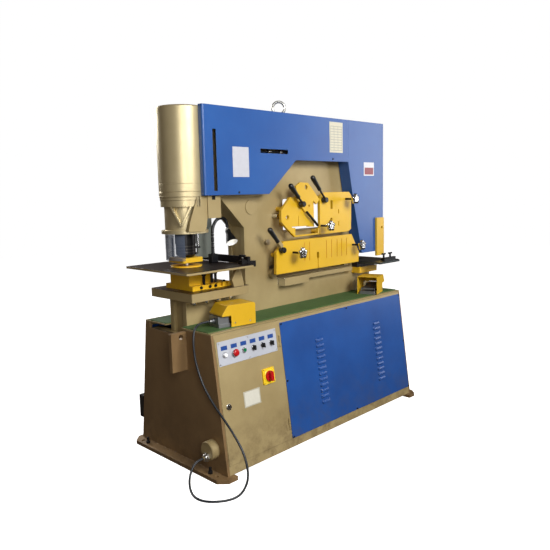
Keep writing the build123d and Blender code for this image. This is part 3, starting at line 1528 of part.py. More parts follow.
ball_radius = 11
ball_z = shade_top_z + 14 - ball_radius - seat_gap
shade_tilt = 36
shade_length = 92
shade_mouth = 35
tilted = Location((shade_x, lamp_y, ball_z), (0, 0, 168)) * Location((0, 0, 0), (shade_tilt, 0, 0))
with BuildPart() as shade:
    with BuildSketch(Plane.XZ):
        Polygon(
            (0, -4),
            (14, -4),
            (17, -30),
            (shade_mouth, -shade_length),
            (shade_mouth - 2, -shade_length),
            (15, -32),
            (0, -32),
            align=None,
        )
    revolve(axis=Axis.Z)
    add_rod((0, 0, -36), UPRIGHT, 9, 14)
    with Locations((0, 0, -56)):
        Sphere(17)
with BuildPart() as lamp_head:
    with Locations((shade_x, lamp_y, ball_z)):
        Sphere(ball_radius)
    add_rod((shade_x, lamp_y, ball_z + ball_radius / 2), UPRIGHT, 6, ball_radius)
    with Locations(tilted):
        add(shade.part)
save(lamp_head, "lamp_head")

# Pedal cord: hangs from the deck's left edge, loops on the floor and rises to the gland
cord_radius = cord_diameter / 2
toe = pedal_places["left"] * Location((terminal_end + gland_length, 0, pedal_gland_z))
cord_points = [
    tuple(toe.position),
    tuple((toe * Location((41, 0, 0))).position),
    (-857, -168, cabinet_height + 27),
    (-886, -181, cabinet_height),
    (-901, -192, cabinet_height - 44),
    (-904, -198, 660),
    (-903, -214, 588),
    (-900, -256, 497),
    (-895, -326, 412),
    (-890, -404, 346),
    (-886, -470, 286),
    (-881, -525, 222),
    (-881, -560, 154),
    (-889, -577, 92),
    (-912, -578, 44),
    (-949, -569, 12),
    (-999, -552, 6),
    (-1049, -520, 6),
    (-1086, -474, 6),
    (-1096, -421, 6),
    (-1085, -370, 9),
    (-1066, -328, 26),
    (-1045, -303, 58),
    (-1016, -292, 94),
    (gland_tip_x - 40, gland_y, gland_z),
    (gland_tip_x - seat_gap, gland_y, gland_z),
]
cord_vectors = [Vector(*point) for point in cord_points]
cord_runs = [b - a for a, b in zip(cord_vectors, cord_vectors[1:])]
cord_radii = []
for before, after in zip(cord_runs, cord_runs[1:]):
    turn = radians(before.get_angle(after))
    cord_radii.append(0.45 * min(before.length, after.length) / tan(turn / 2))
with BuildPart() as pedal_cord:
    with BuildLine():
        route = FilletPolyline(*cord_points, radius=cord_radii)
    with BuildSketch(Plane(origin=route @ 0, z_dir=route % 0)):
        Circle(cord_radius)
    sweep()
save(pedal_cord, "pedal_cord")
print("cord runs", [round(run.length) for run in cord_runs])
print("cord radii", [round(radius) for radius in cord_radii])
cord_length = route.length
cord_share = pedal_cord.part.volume / (pi * cord_radius**2 * cord_length)
print("cord length", round(cord_length), "volume ratio", cord_share)
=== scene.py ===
import bmesh
import bpy
from math import cos, pi, radians, sin
from mathutils import Matrix, Vector


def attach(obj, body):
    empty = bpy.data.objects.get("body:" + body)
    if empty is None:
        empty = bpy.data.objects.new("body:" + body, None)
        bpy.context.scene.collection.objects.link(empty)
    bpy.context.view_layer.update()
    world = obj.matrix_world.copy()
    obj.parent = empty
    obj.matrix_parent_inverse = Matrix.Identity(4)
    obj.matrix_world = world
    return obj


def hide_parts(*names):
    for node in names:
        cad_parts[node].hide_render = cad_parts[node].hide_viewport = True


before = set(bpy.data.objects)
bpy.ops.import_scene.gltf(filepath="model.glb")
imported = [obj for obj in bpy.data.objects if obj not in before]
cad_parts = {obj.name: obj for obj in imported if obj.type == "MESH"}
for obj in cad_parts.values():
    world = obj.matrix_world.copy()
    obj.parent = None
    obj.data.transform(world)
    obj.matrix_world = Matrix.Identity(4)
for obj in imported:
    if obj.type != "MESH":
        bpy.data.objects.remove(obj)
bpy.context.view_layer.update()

# The camera stands where the photograph was taken: left of the machine and in
# front of it. The light is a plain studio set-up: one large soft box straight in
# front, a tall one beside it for the cylinder's streak, fills at the right end
# and behind, and a dim warm room. The pale floor runs into a white wall.
eye = bpy.data.cameras.new("photo_view")
eye.lens = 38.6
eye.sensor_width = 36
eye_object = bpy.data.objects.new("photo_view", eye)
across = Vector((0.703366, -0.710429, -0.023804))
upwards = Vector((0.113707, 0.079394, 0.990337))
backwards = Vector((-0.701674, -0.699276, 0.136624))
turned = Matrix((across, upwards, backwards)).transposed().to_4x4()
eye_object.matrix_world = Matrix.Translation((-2.72567, -2.62573, 1.47504)) @ turned
bpy.context.scene.collection.objects.link(eye_object)
bpy.context.scene.camera = eye_object


def soft_light(name, azimuth, height, distance, target, size, power, tint=(1, 1, 1)):
    """A soft box at an azimuth and height round a target that it faces."""
    lamp = bpy.data.lights.new(name, "AREA")
    lamp.shape = "RECTANGLE"
    lamp.size, lamp.size_y = size
    lamp.energy = power
    lamp.color = tint
    holder = bpy.data.objects.new(name, lamp)
    turn = radians(azimuth)
    holder.location = (target[0] + distance * cos(turn), target[1] + distance * sin(turn), height)
    away = Vector(target) - holder.location
    holder.rotation_euler = away.to_track_quat("-Z", "Y").to_euler()
    bpy.context.scene.collection.objects.link(holder)


soft_light("key_box", -96, 3.3, 4.6, (0, 0, 0.9), (2.2, 1.8), 250)
soft_light("strip_box", -120, 1.9, 3.4, (-0.76, 0, 1.5), (1.0, 2.2), 46)
soft_light("side_box", -32, 1.9, 4.4, (0.3, 0, 1.0), (1.6, 2.2), 45)
soft_light("rear_box", 95, 3.2, 4.6, (0, 0, 0.9), (2.6, 2.0), 190)
soft_light("left_box", 178, 2.4, 4.6, (-0.3, 0, 0.9), (2.0, 2.4), 1.5, (1, 0.9, 0.8))

room = bpy.data.worlds.new("dim_room")
room.use_nodes = True
room.node_tree.nodes["Background"].inputs["Color"].default_value = (1, 0.80, 0.66, 1)
room.node_tree.nodes["Background"].inputs["Strength"].default_value = 0.08
bpy.context.scene.world = room
bpy.context.scene.view_settings.view_transform = "Standard"


def linear(code):
    """Linear RGBA of an sRGB hex colour."""
    parts = [int(code[i:i + 2], 16) / 255 for i in (1, 3, 5)]
    return [c / 12.92 if c <= 0.04045 else ((c + 0.055) / 1.055) ** 2.4 for c in parts] + [1]


def put(tree, kind, inputs, **options):
    """Adds a node with its options, and sets or links its inputs."""
    made = tree.nodes.new(kind)
    for name, value in options.items():
        setattr(made, name, value)
    for name, value in inputs.items():
        if isinstance(value, bpy.types.NodeSocket):
            tree.links.new(value, made.inputs[name])
        else:
            made.inputs[name].default_value = value
    return made


def new_finish(name):
    """An empty material and its tree and shader."""
    made = bpy.data.materials.new(name)
    made.use_nodes = True
    shader = made.node_tree.nodes["Principled BSDF"]
    return made, made.node_tree, shader


def object_place(tree):
    """Where a point lies on the object, in metres."""
    return put(tree, "ShaderNodeTexCoord", {}).outputs["Object"]


def glowing(name, colour, roughness, light, strength):
    """A finish that gives light of its own."""
    made, tree, shader = new_finish(name)
    values = {"Base Color": colour, "Roughness": roughness, "Emission Color": light,
              "Emission Strength": strength}
    for socket, value in values.items():
        shader.inputs[socket].default_value = value
    return made


# Floor and wall: a pale sheet that glows enough to stay white under the
# machine's soft shadow, and a white dome round it that lights nothing.
floor_mesh = bpy.data.meshes.new("studio_floor")
floor_mesh.from_pydata([(-14, -14, 0), (14, -14, 0), (14, 14, 0), (-14, 14, 0)], [], [(0, 1, 2, 3)])
floor = bpy.data.objects.new("studio_floor", floor_mesh)
floor_mesh.materials.append(glowing("pale_floor", linear("#e4e2df"), 0.8, (1, 1, 1, 1), 1.0))
dome_mesh = bpy.data.meshes.new("studio_wall")
shape = bmesh.new()
bmesh.ops.create_uvsphere(shape, u_segments=48, v_segments=24, radius=13)
bmesh.ops.reverse_faces(shape, faces=shape.faces)
shape.to_mesh(dome_mesh)
shape.free()
wall = bpy.data.objects.new("studio_wall", dome_mesh)
dome_mesh.materials.append(glowing("white_wall", (0, 0, 0, 1), 1.0, (1, 1, 1, 1), 1.0))
for stage in (floor, wall):
    bpy.context.scene.collection.objects.link(stage)
    stage.visible_diffuse = False
    stage.visible_glossy = False
wall.visible_shadow = False

# Pedal cord: black rubber-sheathed control cable, 12 mm, from the left pedal's
# gland over the deck's edge, down in front of the cabinet's corner, round a
# loop on the floor and up into the gland on the cabinet's end.
route = [
    (-0.7790, -0.1772, 0.8020), (-0.8192, -0.1694, 0.8020), (-0.857, -0.168, 0.793), (-0.886, -0.181, 0.766),
    (-0.901, -0.192, 0.722), (-0.904, -0.198, 0.660), (-0.903, -0.214, 0.588), (-0.900, -0.256, 0.497),
    (-0.895, -0.326, 0.412), (-0.890, -0.404, 0.346), (-0.886, -0.470, 0.286), (-0.881, -0.525, 0.222),
    (-0.881, -0.560, 0.154), (-0.889, -0.577, 0.092), (-0.912, -0.578, 0.044), (-0.949, -0.569, 0.012),
    (-0.999, -0.552, 0.006), (-1.049, -0.520, 0.006), (-1.086, -0.474, 0.006), (-1.096, -0.421, 0.006),
    (-1.085, -0.370, 0.009), (-1.066, -0.328, 0.026), (-1.045, -0.303, 0.058), (-1.016, -0.292, 0.094),
    (-0.985, -0.290, 0.118), (-0.9453, -0.290, 0.118),
]
cord_curve = bpy.data.curves.new("pedal_cable", "CURVE")
cord_curve.dimensions = "3D"
cord_curve.bevel_depth = 0.006
cord_curve.bevel_resolution = 5
cord_curve.use_fill_caps = True
line = cord_curve.splines.new("NURBS")
line.points.add(len(route) - 1)
for point, place in zip(line.points, route):
    point.co = (*place, 1)
line.order_u = 3
line.use_endpoint_u = True
line.resolution_u = 10
cable = bpy.data.objects.new("pedal_cable", cord_curve)
bpy.context.scene.collection.objects.link(cable)
# Chlorinated rubber, moulded: a dull black with a grey bloom where it is handled
cable_rubber, tree, shader = new_finish("cable_rubber")
grime = put(tree, "ShaderNodeTexNoise", {"Vector": object_place(tree), "Scale": 40.0, "Detail": 4.0})
tone = put(tree, "ShaderNodeMix", {0: grime.outputs["Fac"], 6: linear("#0f1216"), 7: linear("#2b3036")},
           data_type="RGBA")
tree.links.new(tone.outputs[2], shader.inputs["Base Color"])
shader.inputs["Roughness"].default_value = 0.45
cord_curve.materials.append(cable_rubber)
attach(cable, "machine")
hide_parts("pedal_cord")


# Cabinet: folded and welded steel plate, sprayed with a gold-brown hammered
# enamel with a fine metal fleck. Its edges catch the light, dust and scuffs lie
# low down. The end plates are given a darker, browner khaki as painted shade,
# and the junction box behind is black.
def inside(tree, place, low, high):
    """1 inside a box of the object, 0 outside it."""
    middle = [(a + b) / 2 for a, b in zip(low, high)]
    half = [(b - a) / 2 for a, b in zip(low, high)]
    moved = put(tree, "ShaderNodeVectorMath", {0: place, 1: middle}, operation="SUBTRACT")
    scaled = put(tree, "ShaderNodeVectorMath", {0: moved.outputs[0], 1: half}, operation="DIVIDE")
    size = put(tree, "ShaderNodeVectorMath", {0: scaled.outputs[0]}, operation="ABSOLUTE")
    split = put(tree, "ShaderNodeSeparateXYZ", {0: size.outputs[0]})
    wide = put(tree, "ShaderNodeMath", {0: split.outputs[0], 1: split.outputs[1]}, operation="MAXIMUM")
    widest = put(tree, "ShaderNodeMath", {0: wide.outputs[0], 1: split.outputs[2]}, operation="MAXIMUM")
    return put(tree, "ShaderNodeMath", {0: widest.outputs[0], 1: 1.0}, operation="LESS_THAN").outputs[0]


def enamel(name, colour, dark, worn, metallic=0.0, roughness=0.4, wear=0.35, fleck=0.06, edge=0.003,
           soil=None, parts=()):
    """Sprayed enamel on steel: uneven tone, orange peel, scuffs, rubbed edges, and parts left in
    another finish, each given as (low corner, high corner, colour, metallic, roughness)."""
    made, tree, shader = new_finish(name)
    place = object_place(tree)
    # Cloudy tone over some 300 mm, as the spray gun leaves it
    cloud = put(tree, "ShaderNodeTexNoise", {"Vector": place, "Scale": 3.2, "Detail": 5.0, "Roughness": 0.6})
    share = put(tree, "ShaderNodeMapRange", {"Value": cloud.outputs["Fac"], "From Min": 0.35, "From Max": 0.7})
    base = put(tree, "ShaderNodeMix", {0: share.outputs[0], 6: linear(colour), 7: linear(dark)}, data_type="RGBA")
    # Fine fleck of 2 mm, drawn coarser than the real one so that it shows
    fine = put(tree, "ShaderNodeTexNoise", {"Vector": place, "Scale": 420.0, "Detail": 2.0})
    sparkle = put(tree, "ShaderNodeMapRange",
                  {"Value": fine.outputs["Fac"], "To Min": 1 - fleck, "To Max": 1 + fleck})
    lit = put(tree, "ShaderNodeMix", {0: 1.0, 6: base.outputs[2], 7: sparkle.outputs[0]},
              data_type="RGBA", blend_type="MULTIPLY")
    # Rubbed edges: where the rounded normal leaves the flat one, broken up by noise
    rounded = put(tree, "ShaderNodeBevel", {"Radius": edge}, samples=4)
    flat = put(tree, "ShaderNodeNewGeometry", {})
    turn = put(tree, "ShaderNodeVectorMath", {0: rounded.outputs[0], 1: flat.outputs["Normal"]},
               operation="DOT_PRODUCT")
    rim = put(tree, "ShaderNodeMapRange", {"Value": turn.outputs["Value"], "From Min": 0.985, "From Max": 0.80})
    rubs = put(tree, "ShaderNodeTexNoise", {"Vector": place, "Scale": 28.0, "Detail": 6.0, "Roughness": 0.7})
    patch = put(tree, "ShaderNodeMapRange", {"Value": rubs.outputs["Fac"], "From Min": 0.50, "From Max": 0.62})
    bare = put(tree, "ShaderNodeMath", {0: rim.outputs[0], 1: patch.outputs[0]}, operation="MULTIPLY")
    amount = put(tree, "ShaderNodeMath", {0: bare.outputs[0], 1: wear}, operation="MULTIPLY")
    coat = put(tree, "ShaderNodeMix", {0: amount.outputs[0], 6: lit.outputs[2], 7: linear(worn)},
               data_type="RGBA")
    shown = coat.outputs[2]
    # Gloss varies with handling
    gloss = put(tree, "ShaderNodeMapRange", {"Value": rubs.outputs["Fac"],
                                             "To Min": roughness - 0.07, "To Max": roughness + 0.09})
    dull = gloss.outputs[0]
    if soil:
        # Dust and oil, thickest at the height given first and gone at the second
        height = put(tree, "ShaderNodeSeparateXYZ", {0: place})
        low = put(tree, "ShaderNodeMapRange",
                  {"Value": height.outputs[2], "From Min": soil[0], "From Max": soil[1],
                                               "To Min": 1.0, "To Max": 0.0})
        streaks = put(tree, "ShaderNodeTexNoise",
                      {"Vector": place, "Scale": 11.0, "Detail": 7.0, "Roughness": 0.75})
        drift = put(tree, "ShaderNodeMapRange",
                    {"Value": streaks.outputs["Fac"], "From Min": 0.42, "From Max": 0.72})
        lies = put(tree, "ShaderNodeMath", {0: low.outputs[0], 1: drift.outputs[0]}, operation="MULTIPLY")
        dirty = put(tree, "ShaderNodeMix", {0: lies.outputs[0], 6: shown, 7: linear(soil[2])}, data_type="RGBA")
        shown = dirty.outputs[2]
    metal = None
    for corner, far, tone, shine, rough in parts:
        mask = inside(tree, place, corner, far)
        swap = put(tree, "ShaderNodeMix", {0: mask, 6: shown, 7: linear(tone)}, data_type="RGBA")
        shown = swap.outputs[2]
        swap = put(tree, "ShaderNodeMix", {0: mask, 2: metallic if metal is None else metal, 3: shine})
        metal = swap.outputs[0]
        swap = put(tree, "ShaderNodeMix", {0: mask, 2: dull, 3: rough})
        dull = swap.outputs[0]
    tree.links.new(shown, shader.inputs["Base Color"])
    tree.links.new(dull, shader.inputs["Roughness"])
    if metal is None:
        shader.inputs["Metallic"].default_value = metallic
    else:
        tree.links.new(metal, shader.inputs["Metallic"])
    # Orange peel of about 4 mm over the softened edges
    peel = put(tree, "ShaderNodeTexNoise", {"Vector": place, "Scale": 230.0, "Detail": 2.0})
    skin = put(tree, "ShaderNodeBump", {"Height": peel.outputs["Fac"], "Strength": 0.10, "Distance": 0.001,
                                        "Normal": rounded.outputs[0]})
    tree.links.new(skin.outputs[0], shader.inputs["Normal"])
    return made


def coat(material, *names):
    """Gives CAD nodes a finish."""
    for name in names:
        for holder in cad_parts[name].material_slots:
            holder.material = material


khaki_tones = ("#ab986c", "#9a875c", "#cbbc94")
dust = (0.0, 0.34, "#5e4a30")
satin = {"metallic": 0.15, "roughness": 0.42}
khaki = enamel("hammered_khaki_enamel", *khaki_tones, **satin, soil=dust)
# Painted shade: the end plates' khaki is darker and browner than the body's, for the shade on the machine's end.
painted_shade_end_khaki = enamel("end_khaki_enamel", "#8d714c", "#7b6140", "#b39c70", **satin, soil=dust)
coat(painted_shade_end_khaki, "cabinet_ends")
coat(khaki, "cabinet_body", "deck_plate", "electrical_door", "cable_boss", "frame_plate_rear",
     "shear_beam")
junction_box = ((-0.862, 0.372, 0.141), (-0.758, 0.47, 0.279), "#141416", 0.0, 0.35)
grey = enamel("machine_grey_enamel", "#6f7173", "#5c5e60", "#a0a2a4", roughness=0.45, parts=[junction_box])
coat(grey, "electrical_panel", "hydraulic_unit")


# Levelling screws: black oxide hexagon screws in the feet. The same oxide is on
# the fence, the lamp's foot and the shear's cylinder.
def bare_metal(name, colour, dark, roughness, grain=(6.0, 6.0, 160.0), metallic=1.0, edge=0.0015):
    """Metal with grinding lines: the grain's scale is in lines per metre."""
    made, tree, shader = new_finish(name)
    place = object_place(tree)
    stretched = put(tree, "ShaderNodeMapping", {"Vector": place, "Scale": grain})
    lines = put(tree, "ShaderNodeTexNoise", {"Vector": stretched.outputs[0], "Scale": 3.0, "Detail": 6.0,
                                             "Roughness": 0.7})
    tone = put(tree, "ShaderNodeMix", {0: lines.outputs["Fac"], 6: linear(colour), 7: linear(dark)},
               data_type="RGBA")
    tree.links.new(tone.outputs[2], shader.inputs["Base Color"])
    gloss = put(tree, "ShaderNodeMapRange", {"Value": lines.outputs["Fac"],
                                             "To Min": roughness - 0.08, "To Max": roughness + 0.1})
    tree.links.new(gloss.outputs[0], shader.inputs["Roughness"])
    shader.inputs["Metallic"].default_value = metallic
    rounded = put(tree, "ShaderNodeBevel", {"Radius": edge}, samples=4)
    skin = put(tree, "ShaderNodeBump", {"Height": lines.outputs["Fac"], "Strength": 0.08, "Distance": 0.001,
                                        "Normal": rounded.outputs[0]})
    tree.links.new(skin.outputs[0], shader.inputs["Normal"])
    return made


black_oxide = bare_metal("black_oxide_steel", "#2c2a2b", "#171618", 0.40, metallic=0.6)
coat(black_oxide, "levelling_screws", "shear_cylinder", "table_fence", "lamp_base")


# Deck mat: green ribbed rubber sheet, 4 mm, laid loose between the deck's
# edges. Its ribs run along the machine, and oil and swarf have dulled it.
mat_rubber, tree, shader = new_finish("ribbed_mat_rubber")
place = object_place(tree)
worn = put(tree, "ShaderNodeTexNoise", {"Vector": place, "Scale": 9.0, "Detail": 6.0})
tone = put(tree, "ShaderNodeMix", {0: worn.outputs["Fac"], 6: linear("#335227"), 7: linear("#4d6f3a")},
           data_type="RGBA")
tree.links.new(tone.outputs[2], shader.inputs["Base Color"])
shader.inputs["Roughness"].default_value = 0.7
# Ribs 8 mm apart, drawn coarser than the real 3 mm so that they show
ribs = put(tree, "ShaderNodeTexWave", {"Vector": place, "Scale": 40.0}, bands_direction="Y")
skin = put(tree, "ShaderNodeBump", {"Height": ribs.outputs["Fac"], "Strength": 0.3, "Distance": 0.002})
tree.links.new(skin.outputs[0], shader.inputs["Normal"])
coat(mat_rubber, "deck_mat")

# Cabinet covers: blue enamelled sheet pans, held by cross-head screws, each
# with two columns of pressed louvres whose hoods are rounded over.
blue_tones = ("#1f4f96", "#1b4485", "#4f78b4")
blue = enamel("blue_enamel", *blue_tones, roughness=0.34, soil=(0.0, 0.4, "#3a4a72"))
coat(blue, "cabinet_covers")

lean = 0.131627
out_front = Vector((0, -cos(lean), sin(lean)))
up_front = Vector((0, sin(lean), cos(lean)))
sheet_face = 0.0033


def on_front(x, z, out=0.0):
    """A point on the cabinet's sloped front at a height, moved outwards."""
    along = (z - 0.022) / cos(lean)
    return Vector((x, -0.397, 0.022)) + up_front * along + out_front * out


def on_rear(x, z, out=0.0):
    """The same on the sloped rear."""
    spot = on_front(x, z, out)
    return Vector((spot.x, -spot.y, spot.z))


def take_in(tree, *inputs):
    """Names a Geometry Nodes tree's inputs, its mesh of places first, and its result."""
    tree.interface.new_socket("Places", in_out="INPUT", socket_type="NodeSocketGeometry")
    for name, kind, value in inputs:
        made = tree.interface.new_socket(name, in_out="INPUT", socket_type="NodeSocket" + kind)
        if value is not None:
            made.default_value = value
    tree.interface.new_socket("Pieces", in_out="OUTPUT", socket_type="NodeSocketGeometry")
    return put(tree, "NodeGroupInput", {})


def give_out(tree, places, piece, material):
    """Ends a tree: the piece on every place, turned to the place's aim, made real and finished."""
    aimed = put(tree, "GeometryNodeInputNamedAttribute", {"Name": "aim"}, data_type="FLOAT_VECTOR")
    facing = put(tree, "FunctionNodeAlignRotationToVector", {"Vector": aimed.outputs[0]}, axis="Z")
    rolled = put(tree, "GeometryNodeInputNamedAttribute", {"Name": "roll"}, data_type="FLOAT")
    spin = put(tree, "ShaderNodeCombineXYZ", {2: rolled.outputs[0]})
    turned = put(tree, "FunctionNodeEulerToRotation", {0: spin.outputs[0]})
    both = put(tree, "FunctionNodeRotateRotation", {0: facing.outputs[0], 1: turned.outputs[0]},
               rotation_space="LOCAL")
    spread = put(tree, "GeometryNodeInstanceOnPoints",
                 {"Points": places, "Instance": piece, "Rotation": both.outputs[0]})
    real = put(tree, "GeometryNodeRealizeInstances", {0: spread.outputs[0]})
    dressed = put(tree, "GeometryNodeSetMaterial", {"Geometry": real.outputs[0], "Material": material})
    put(tree, "NodeGroupOutput", {"Pieces": dressed.outputs[0]})


def louvre_tree():
    """Geometry Nodes: a closed hood, flat at its mouth and rounded over its top and ends."""
    tree = bpy.data.node_groups.new("louvre_hoods", "GeometryNodeTree")
    taken = take_in(tree, ("Half Length", "Float", 0.036), ("Height", "Float", 0.0195), ("Rise", "Float", 0.010),
                    ("Finish", "Material", None))
    length = put(tree, "ShaderNodeMath", {0: taken.outputs["Half Length"], 1: 2.0}, operation="MULTIPLY")
    size = put(tree, "ShaderNodeCombineXYZ", {0: length.outputs[0], 1: taken.outputs["Height"], 2: 0.001})
    block = put(tree, "GeometryNodeMeshCube",
                {"Size": size.outputs[0], "Vertices X": 15, "Vertices Y": 7, "Vertices Z": 2})
    spot = put(tree, "GeometryNodeInputPosition", {})
    axes = put(tree, "ShaderNodeSeparateXYZ", {0: spot.outputs[0]})
    # Share of the way up the hood, 0 at its mouth, and share of the way out to an end
    climb = put(tree, "ShaderNodeMath", {0: axes.outputs[1], 1: taken.outputs["Height"]}, operation="DIVIDE")
    climb = put(tree, "ShaderNodeMath", {0: climb.outputs[0], 1: 0.5}, operation="ADD")
    away = put(tree, "ShaderNodeMath", {0: axes.outputs[0], 1: taken.outputs["Half Length"]}, operation="DIVIDE")
    reach = taken.outputs["Rise"]
    for share, power in ((climb.outputs[0], 2.0), (away.outputs[0], 12.0)):
        positive = put(tree, "ShaderNodeMath", {0: share}, operation="ABSOLUTE")
        raised = put(tree, "ShaderNodeMath", {0: positive.outputs[0], 1: power}, operation="POWER")
        rest = put(tree, "ShaderNodeMath", {0: 1.0, 1: raised.outputs[0]}, operation="SUBTRACT", use_clamp=True)
        root = put(tree, "ShaderNodeMath", {0: rest.outputs[0]}, operation="SQRT")
        reach = put(tree, "ShaderNodeMath", {0: reach, 1: root.outputs[0]}, operation="MULTIPLY").outputs[0]
    lift = put(tree, "ShaderNodeMath", {0: reach, 1: 0.0003}, operation="ADD")
    raised_to = put(tree, "ShaderNodeCombineXYZ", {0: axes.outputs[0], 1: axes.outputs[1], 2: lift.outputs[0]})
    upper = put(tree, "ShaderNodeMath", {0: axes.outputs[2], 1: 0.0}, operation="GREATER_THAN")
    bent = put(tree, "GeometryNodeSetPosition", {"Geometry": block.outputs["Mesh"], "Selection": upper.outputs[0],
                                                 "Position": raised_to.outputs[0]})
    give_out(tree, taken.outputs["Places"], bent.outputs[0], taken.outputs["Finish"])
    return tree


def grown(name, body, tree, places, aim_at, values, roll=0.0):
    """Runs a tree on a list of places, as one plain mesh that rides on a body."""
    points = bpy.data.meshes.new(name + "_places")
    points.from_pydata(places, [], [])
    for item in points.attributes.new("aim", "FLOAT_VECTOR", "POINT").data:
        item.vector = aim_at
    for item in points.attributes.new("roll", "FLOAT", "POINT").data:
        item.value = roll
    holder = bpy.data.objects.new(name + "_places", points)
    bpy.context.scene.collection.objects.link(holder)
    maker = holder.modifiers.new("pieces", "NODES")
    maker.node_group = tree
    keys = {item.name: item.identifier for item in tree.interface.items_tree if item.in_out == "INPUT"}
    for key, value in values.items():
        maker[keys[key]] = value
    graph = bpy.context.evaluated_depsgraph_get()
    mesh = bpy.data.meshes.new_from_object(holder.evaluated_get(graph))
    bpy.data.objects.remove(holder)
    made = bpy.data.objects.new(name, mesh)
    bpy.context.scene.collection.objects.link(made)
    mesh.shade_smooth()
    mesh.set_sharp_from_angle(angle=radians(35))
    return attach(made, body)


louvre_pitch = 0.0342
louvre_rows = [0.398 - louvre_pitch * 5.5 + louvre_pitch * row for row in range(12)]
louvre_columns = (-0.050, 0.545)
hoods = louvre_tree()
hood_spots = [on_front(x, z, sheet_face) for x in louvre_columns for z in louvre_rows]
grown("front_louvres", "machine", hoods, hood_spots, out_front, {"Finish": blue})
out_rear = Vector((0, cos(lean), sin(lean)))
hood_spots = [on_rear(x, z, sheet_face) for x in louvre_columns for z in louvre_rows]
grown("rear_louvres", "machine", hoods, hood_spots, out_rear, {"Finish": blue}, pi)


def head_tree():
    """Geometry Nodes: a bevelled screw head on every place."""
    tree = bpy.data.node_groups.new("screw_heads", "GeometryNodeTree")
    taken = take_in(tree, ("Radius", "Float", 0.005), ("Height", "Float", 0.003), ("Sides", "Int", 16),
                    ("Finish", "Material", None))
    lower = put(tree, "GeometryNodeMeshCylinder",
                {"Vertices": taken.outputs["Sides"], "Radius": taken.outputs["Radius"],
                                                   "Depth": taken.outputs["Height"]})
    small = put(tree, "ShaderNodeMath", {0: taken.outputs["Radius"], 1: 0.8}, operation="MULTIPLY")
    thin = put(tree, "ShaderNodeMath", {0: taken.outputs["Height"], 1: 1.3}, operation="MULTIPLY")
    upper = put(tree, "GeometryNodeMeshCylinder", {"Vertices": taken.outputs["Sides"], "Radius": small.outputs[0],
                                                   "Depth": thin.outputs[0]})
    both = put(tree, "GeometryNodeJoinGeometry", {})
    tree.links.new(lower.outputs["Mesh"], both.inputs[0])
    tree.links.new(upper.outputs["Mesh"], both.inputs[0])
    give_out(tree, taken.outputs["Places"], both.outputs[0], taken.outputs["Finish"])
    return tree


heads = head_tree()


def screws(name, body, places, aim_at, radius, height, material):
    """A row of screw heads as one plain mesh."""
    values = {"Radius": radius, "Height": height, "Finish": material}
    return grown(name, body, heads, places, aim_at, values)


zinc = bare_metal("zinc_plated_steel", "#c9c8c2", "#a3a29c", 0.28, (60.0, 60.0, 60.0))
cover_edges = [on_front(x, z, 0.0075) for x in (-0.363, 0.849) for z in (0.080, 0.4065, 0.733)]
cover_edges += [on_front(0.243, z, 0.0075) for z in (0.080, 0.733)]
screws("cover_screws", "machine", cover_edges, out_front, 0.0055, 0.003, black_oxide)
screws("rear_cover_screws", "machine", [on_rear(x, z, 0.0075) for x in (-0.849, 0, 0.844) for z in (0.080,
                                                                                                    0.733)],
       out_rear, 0.0055, 0.003, zinc)

# Electrical door: a folded khaki pan on two pin hinges, with a chrome
# quarter-turn lock whose wing stands out, and a bare screwed-on plate.
chrome = bare_metal("hard_chrome", "#dcdcdc", "#bcbec0", 0.12, (30.0, 30.0, 30.0))
coat(chrome, "door_lock", "shear_rod")


def aim(place, direction):
    """Places a shape whose own Z points along a direction."""
    return Matrix.Translation(place) @ Vector(direction).to_track_quat("Z", "Y").to_matrix().to_4x4()


def rings_of(shape, rings, placed, sides=32, lobes=0, depth=0.0, hollow=False):
    """Adds a closed turned form: rings are (radius, height) from end to end, wavy where lobed.
    A hollow one is a tube whose last ring meets its first."""
    loops = []
    for radius, height in rings:
        loop = []
        for step in range(sides):
            turn = 2 * pi * step / sides
            wave = 1 - depth * (0.5 - 0.5 * cos(lobes * turn)) if lobes else 1
            spot = Vector((radius * wave * cos(turn), radius * wave * sin(turn), height))
            loop.append(shape.verts.new(placed @ spot))
        loops.append(loop)
    if hollow:
        loops.append(loops[0])
    for low, high in zip(loops, loops[1:]):
        for step in range(sides):
            after = (step + 1) % sides
            shape.faces.new((low[step], low[after], high[after], high[step]))
    if not hollow:
        shape.faces.new(reversed(loops[0]))
        shape.faces.new(loops[-1])


def slab(shape, low, high, placed=Matrix()):
    """Adds a box between two corners."""
    spots = [(x, y, z) for z in (low[2], high[2]) for y in (low[1], high[1]) for x in (low[0], high[0])]
    corners = [shape.verts.new(placed @ Vector(spot)) for spot in spots]
    for face in ((0, 2, 3, 1), (4, 5, 7, 6), (0, 1, 5, 4), (2, 6, 7, 3), (0, 4, 6, 2), (1, 3, 7, 5)):
        shape.faces.new([corners[i] for i in face])


def finished(name, shape, body, *materials, slot=None, smooth=35, replaces=(), soften=0.0):
    """Turns a bmesh into a piece that rides on a body, its edges rounded where asked."""
    if soften:
        bmesh.ops.bevel(shape, geom=shape.edges[:], offset=soften, segments=2, affect="EDGES")
    bmesh.ops.recalc_face_normals(shape, faces=shape.faces)
    mesh = bpy.data.meshes.new(name)
    shape.to_mesh(mesh)
    shape.free()
    for material in materials:
        mesh.materials.append(material)
    made = bpy.data.objects.new(name, mesh)
    bpy.context.scene.collection.objects.link(made)
    mesh.shade_smooth()
    mesh.set_sharp_from_angle(angle=radians(smooth))
    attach(made, body)
    if replaces:
        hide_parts(*replaces)
    return made


def across_front(spot):
    """Axes on the sloped front: X along the machine, Y up the slope, Z outwards."""
    axes = Matrix(((1, 0, 0), up_front, out_front)).transposed().to_4x4()
    return Matrix.Translation(spot) @ axes


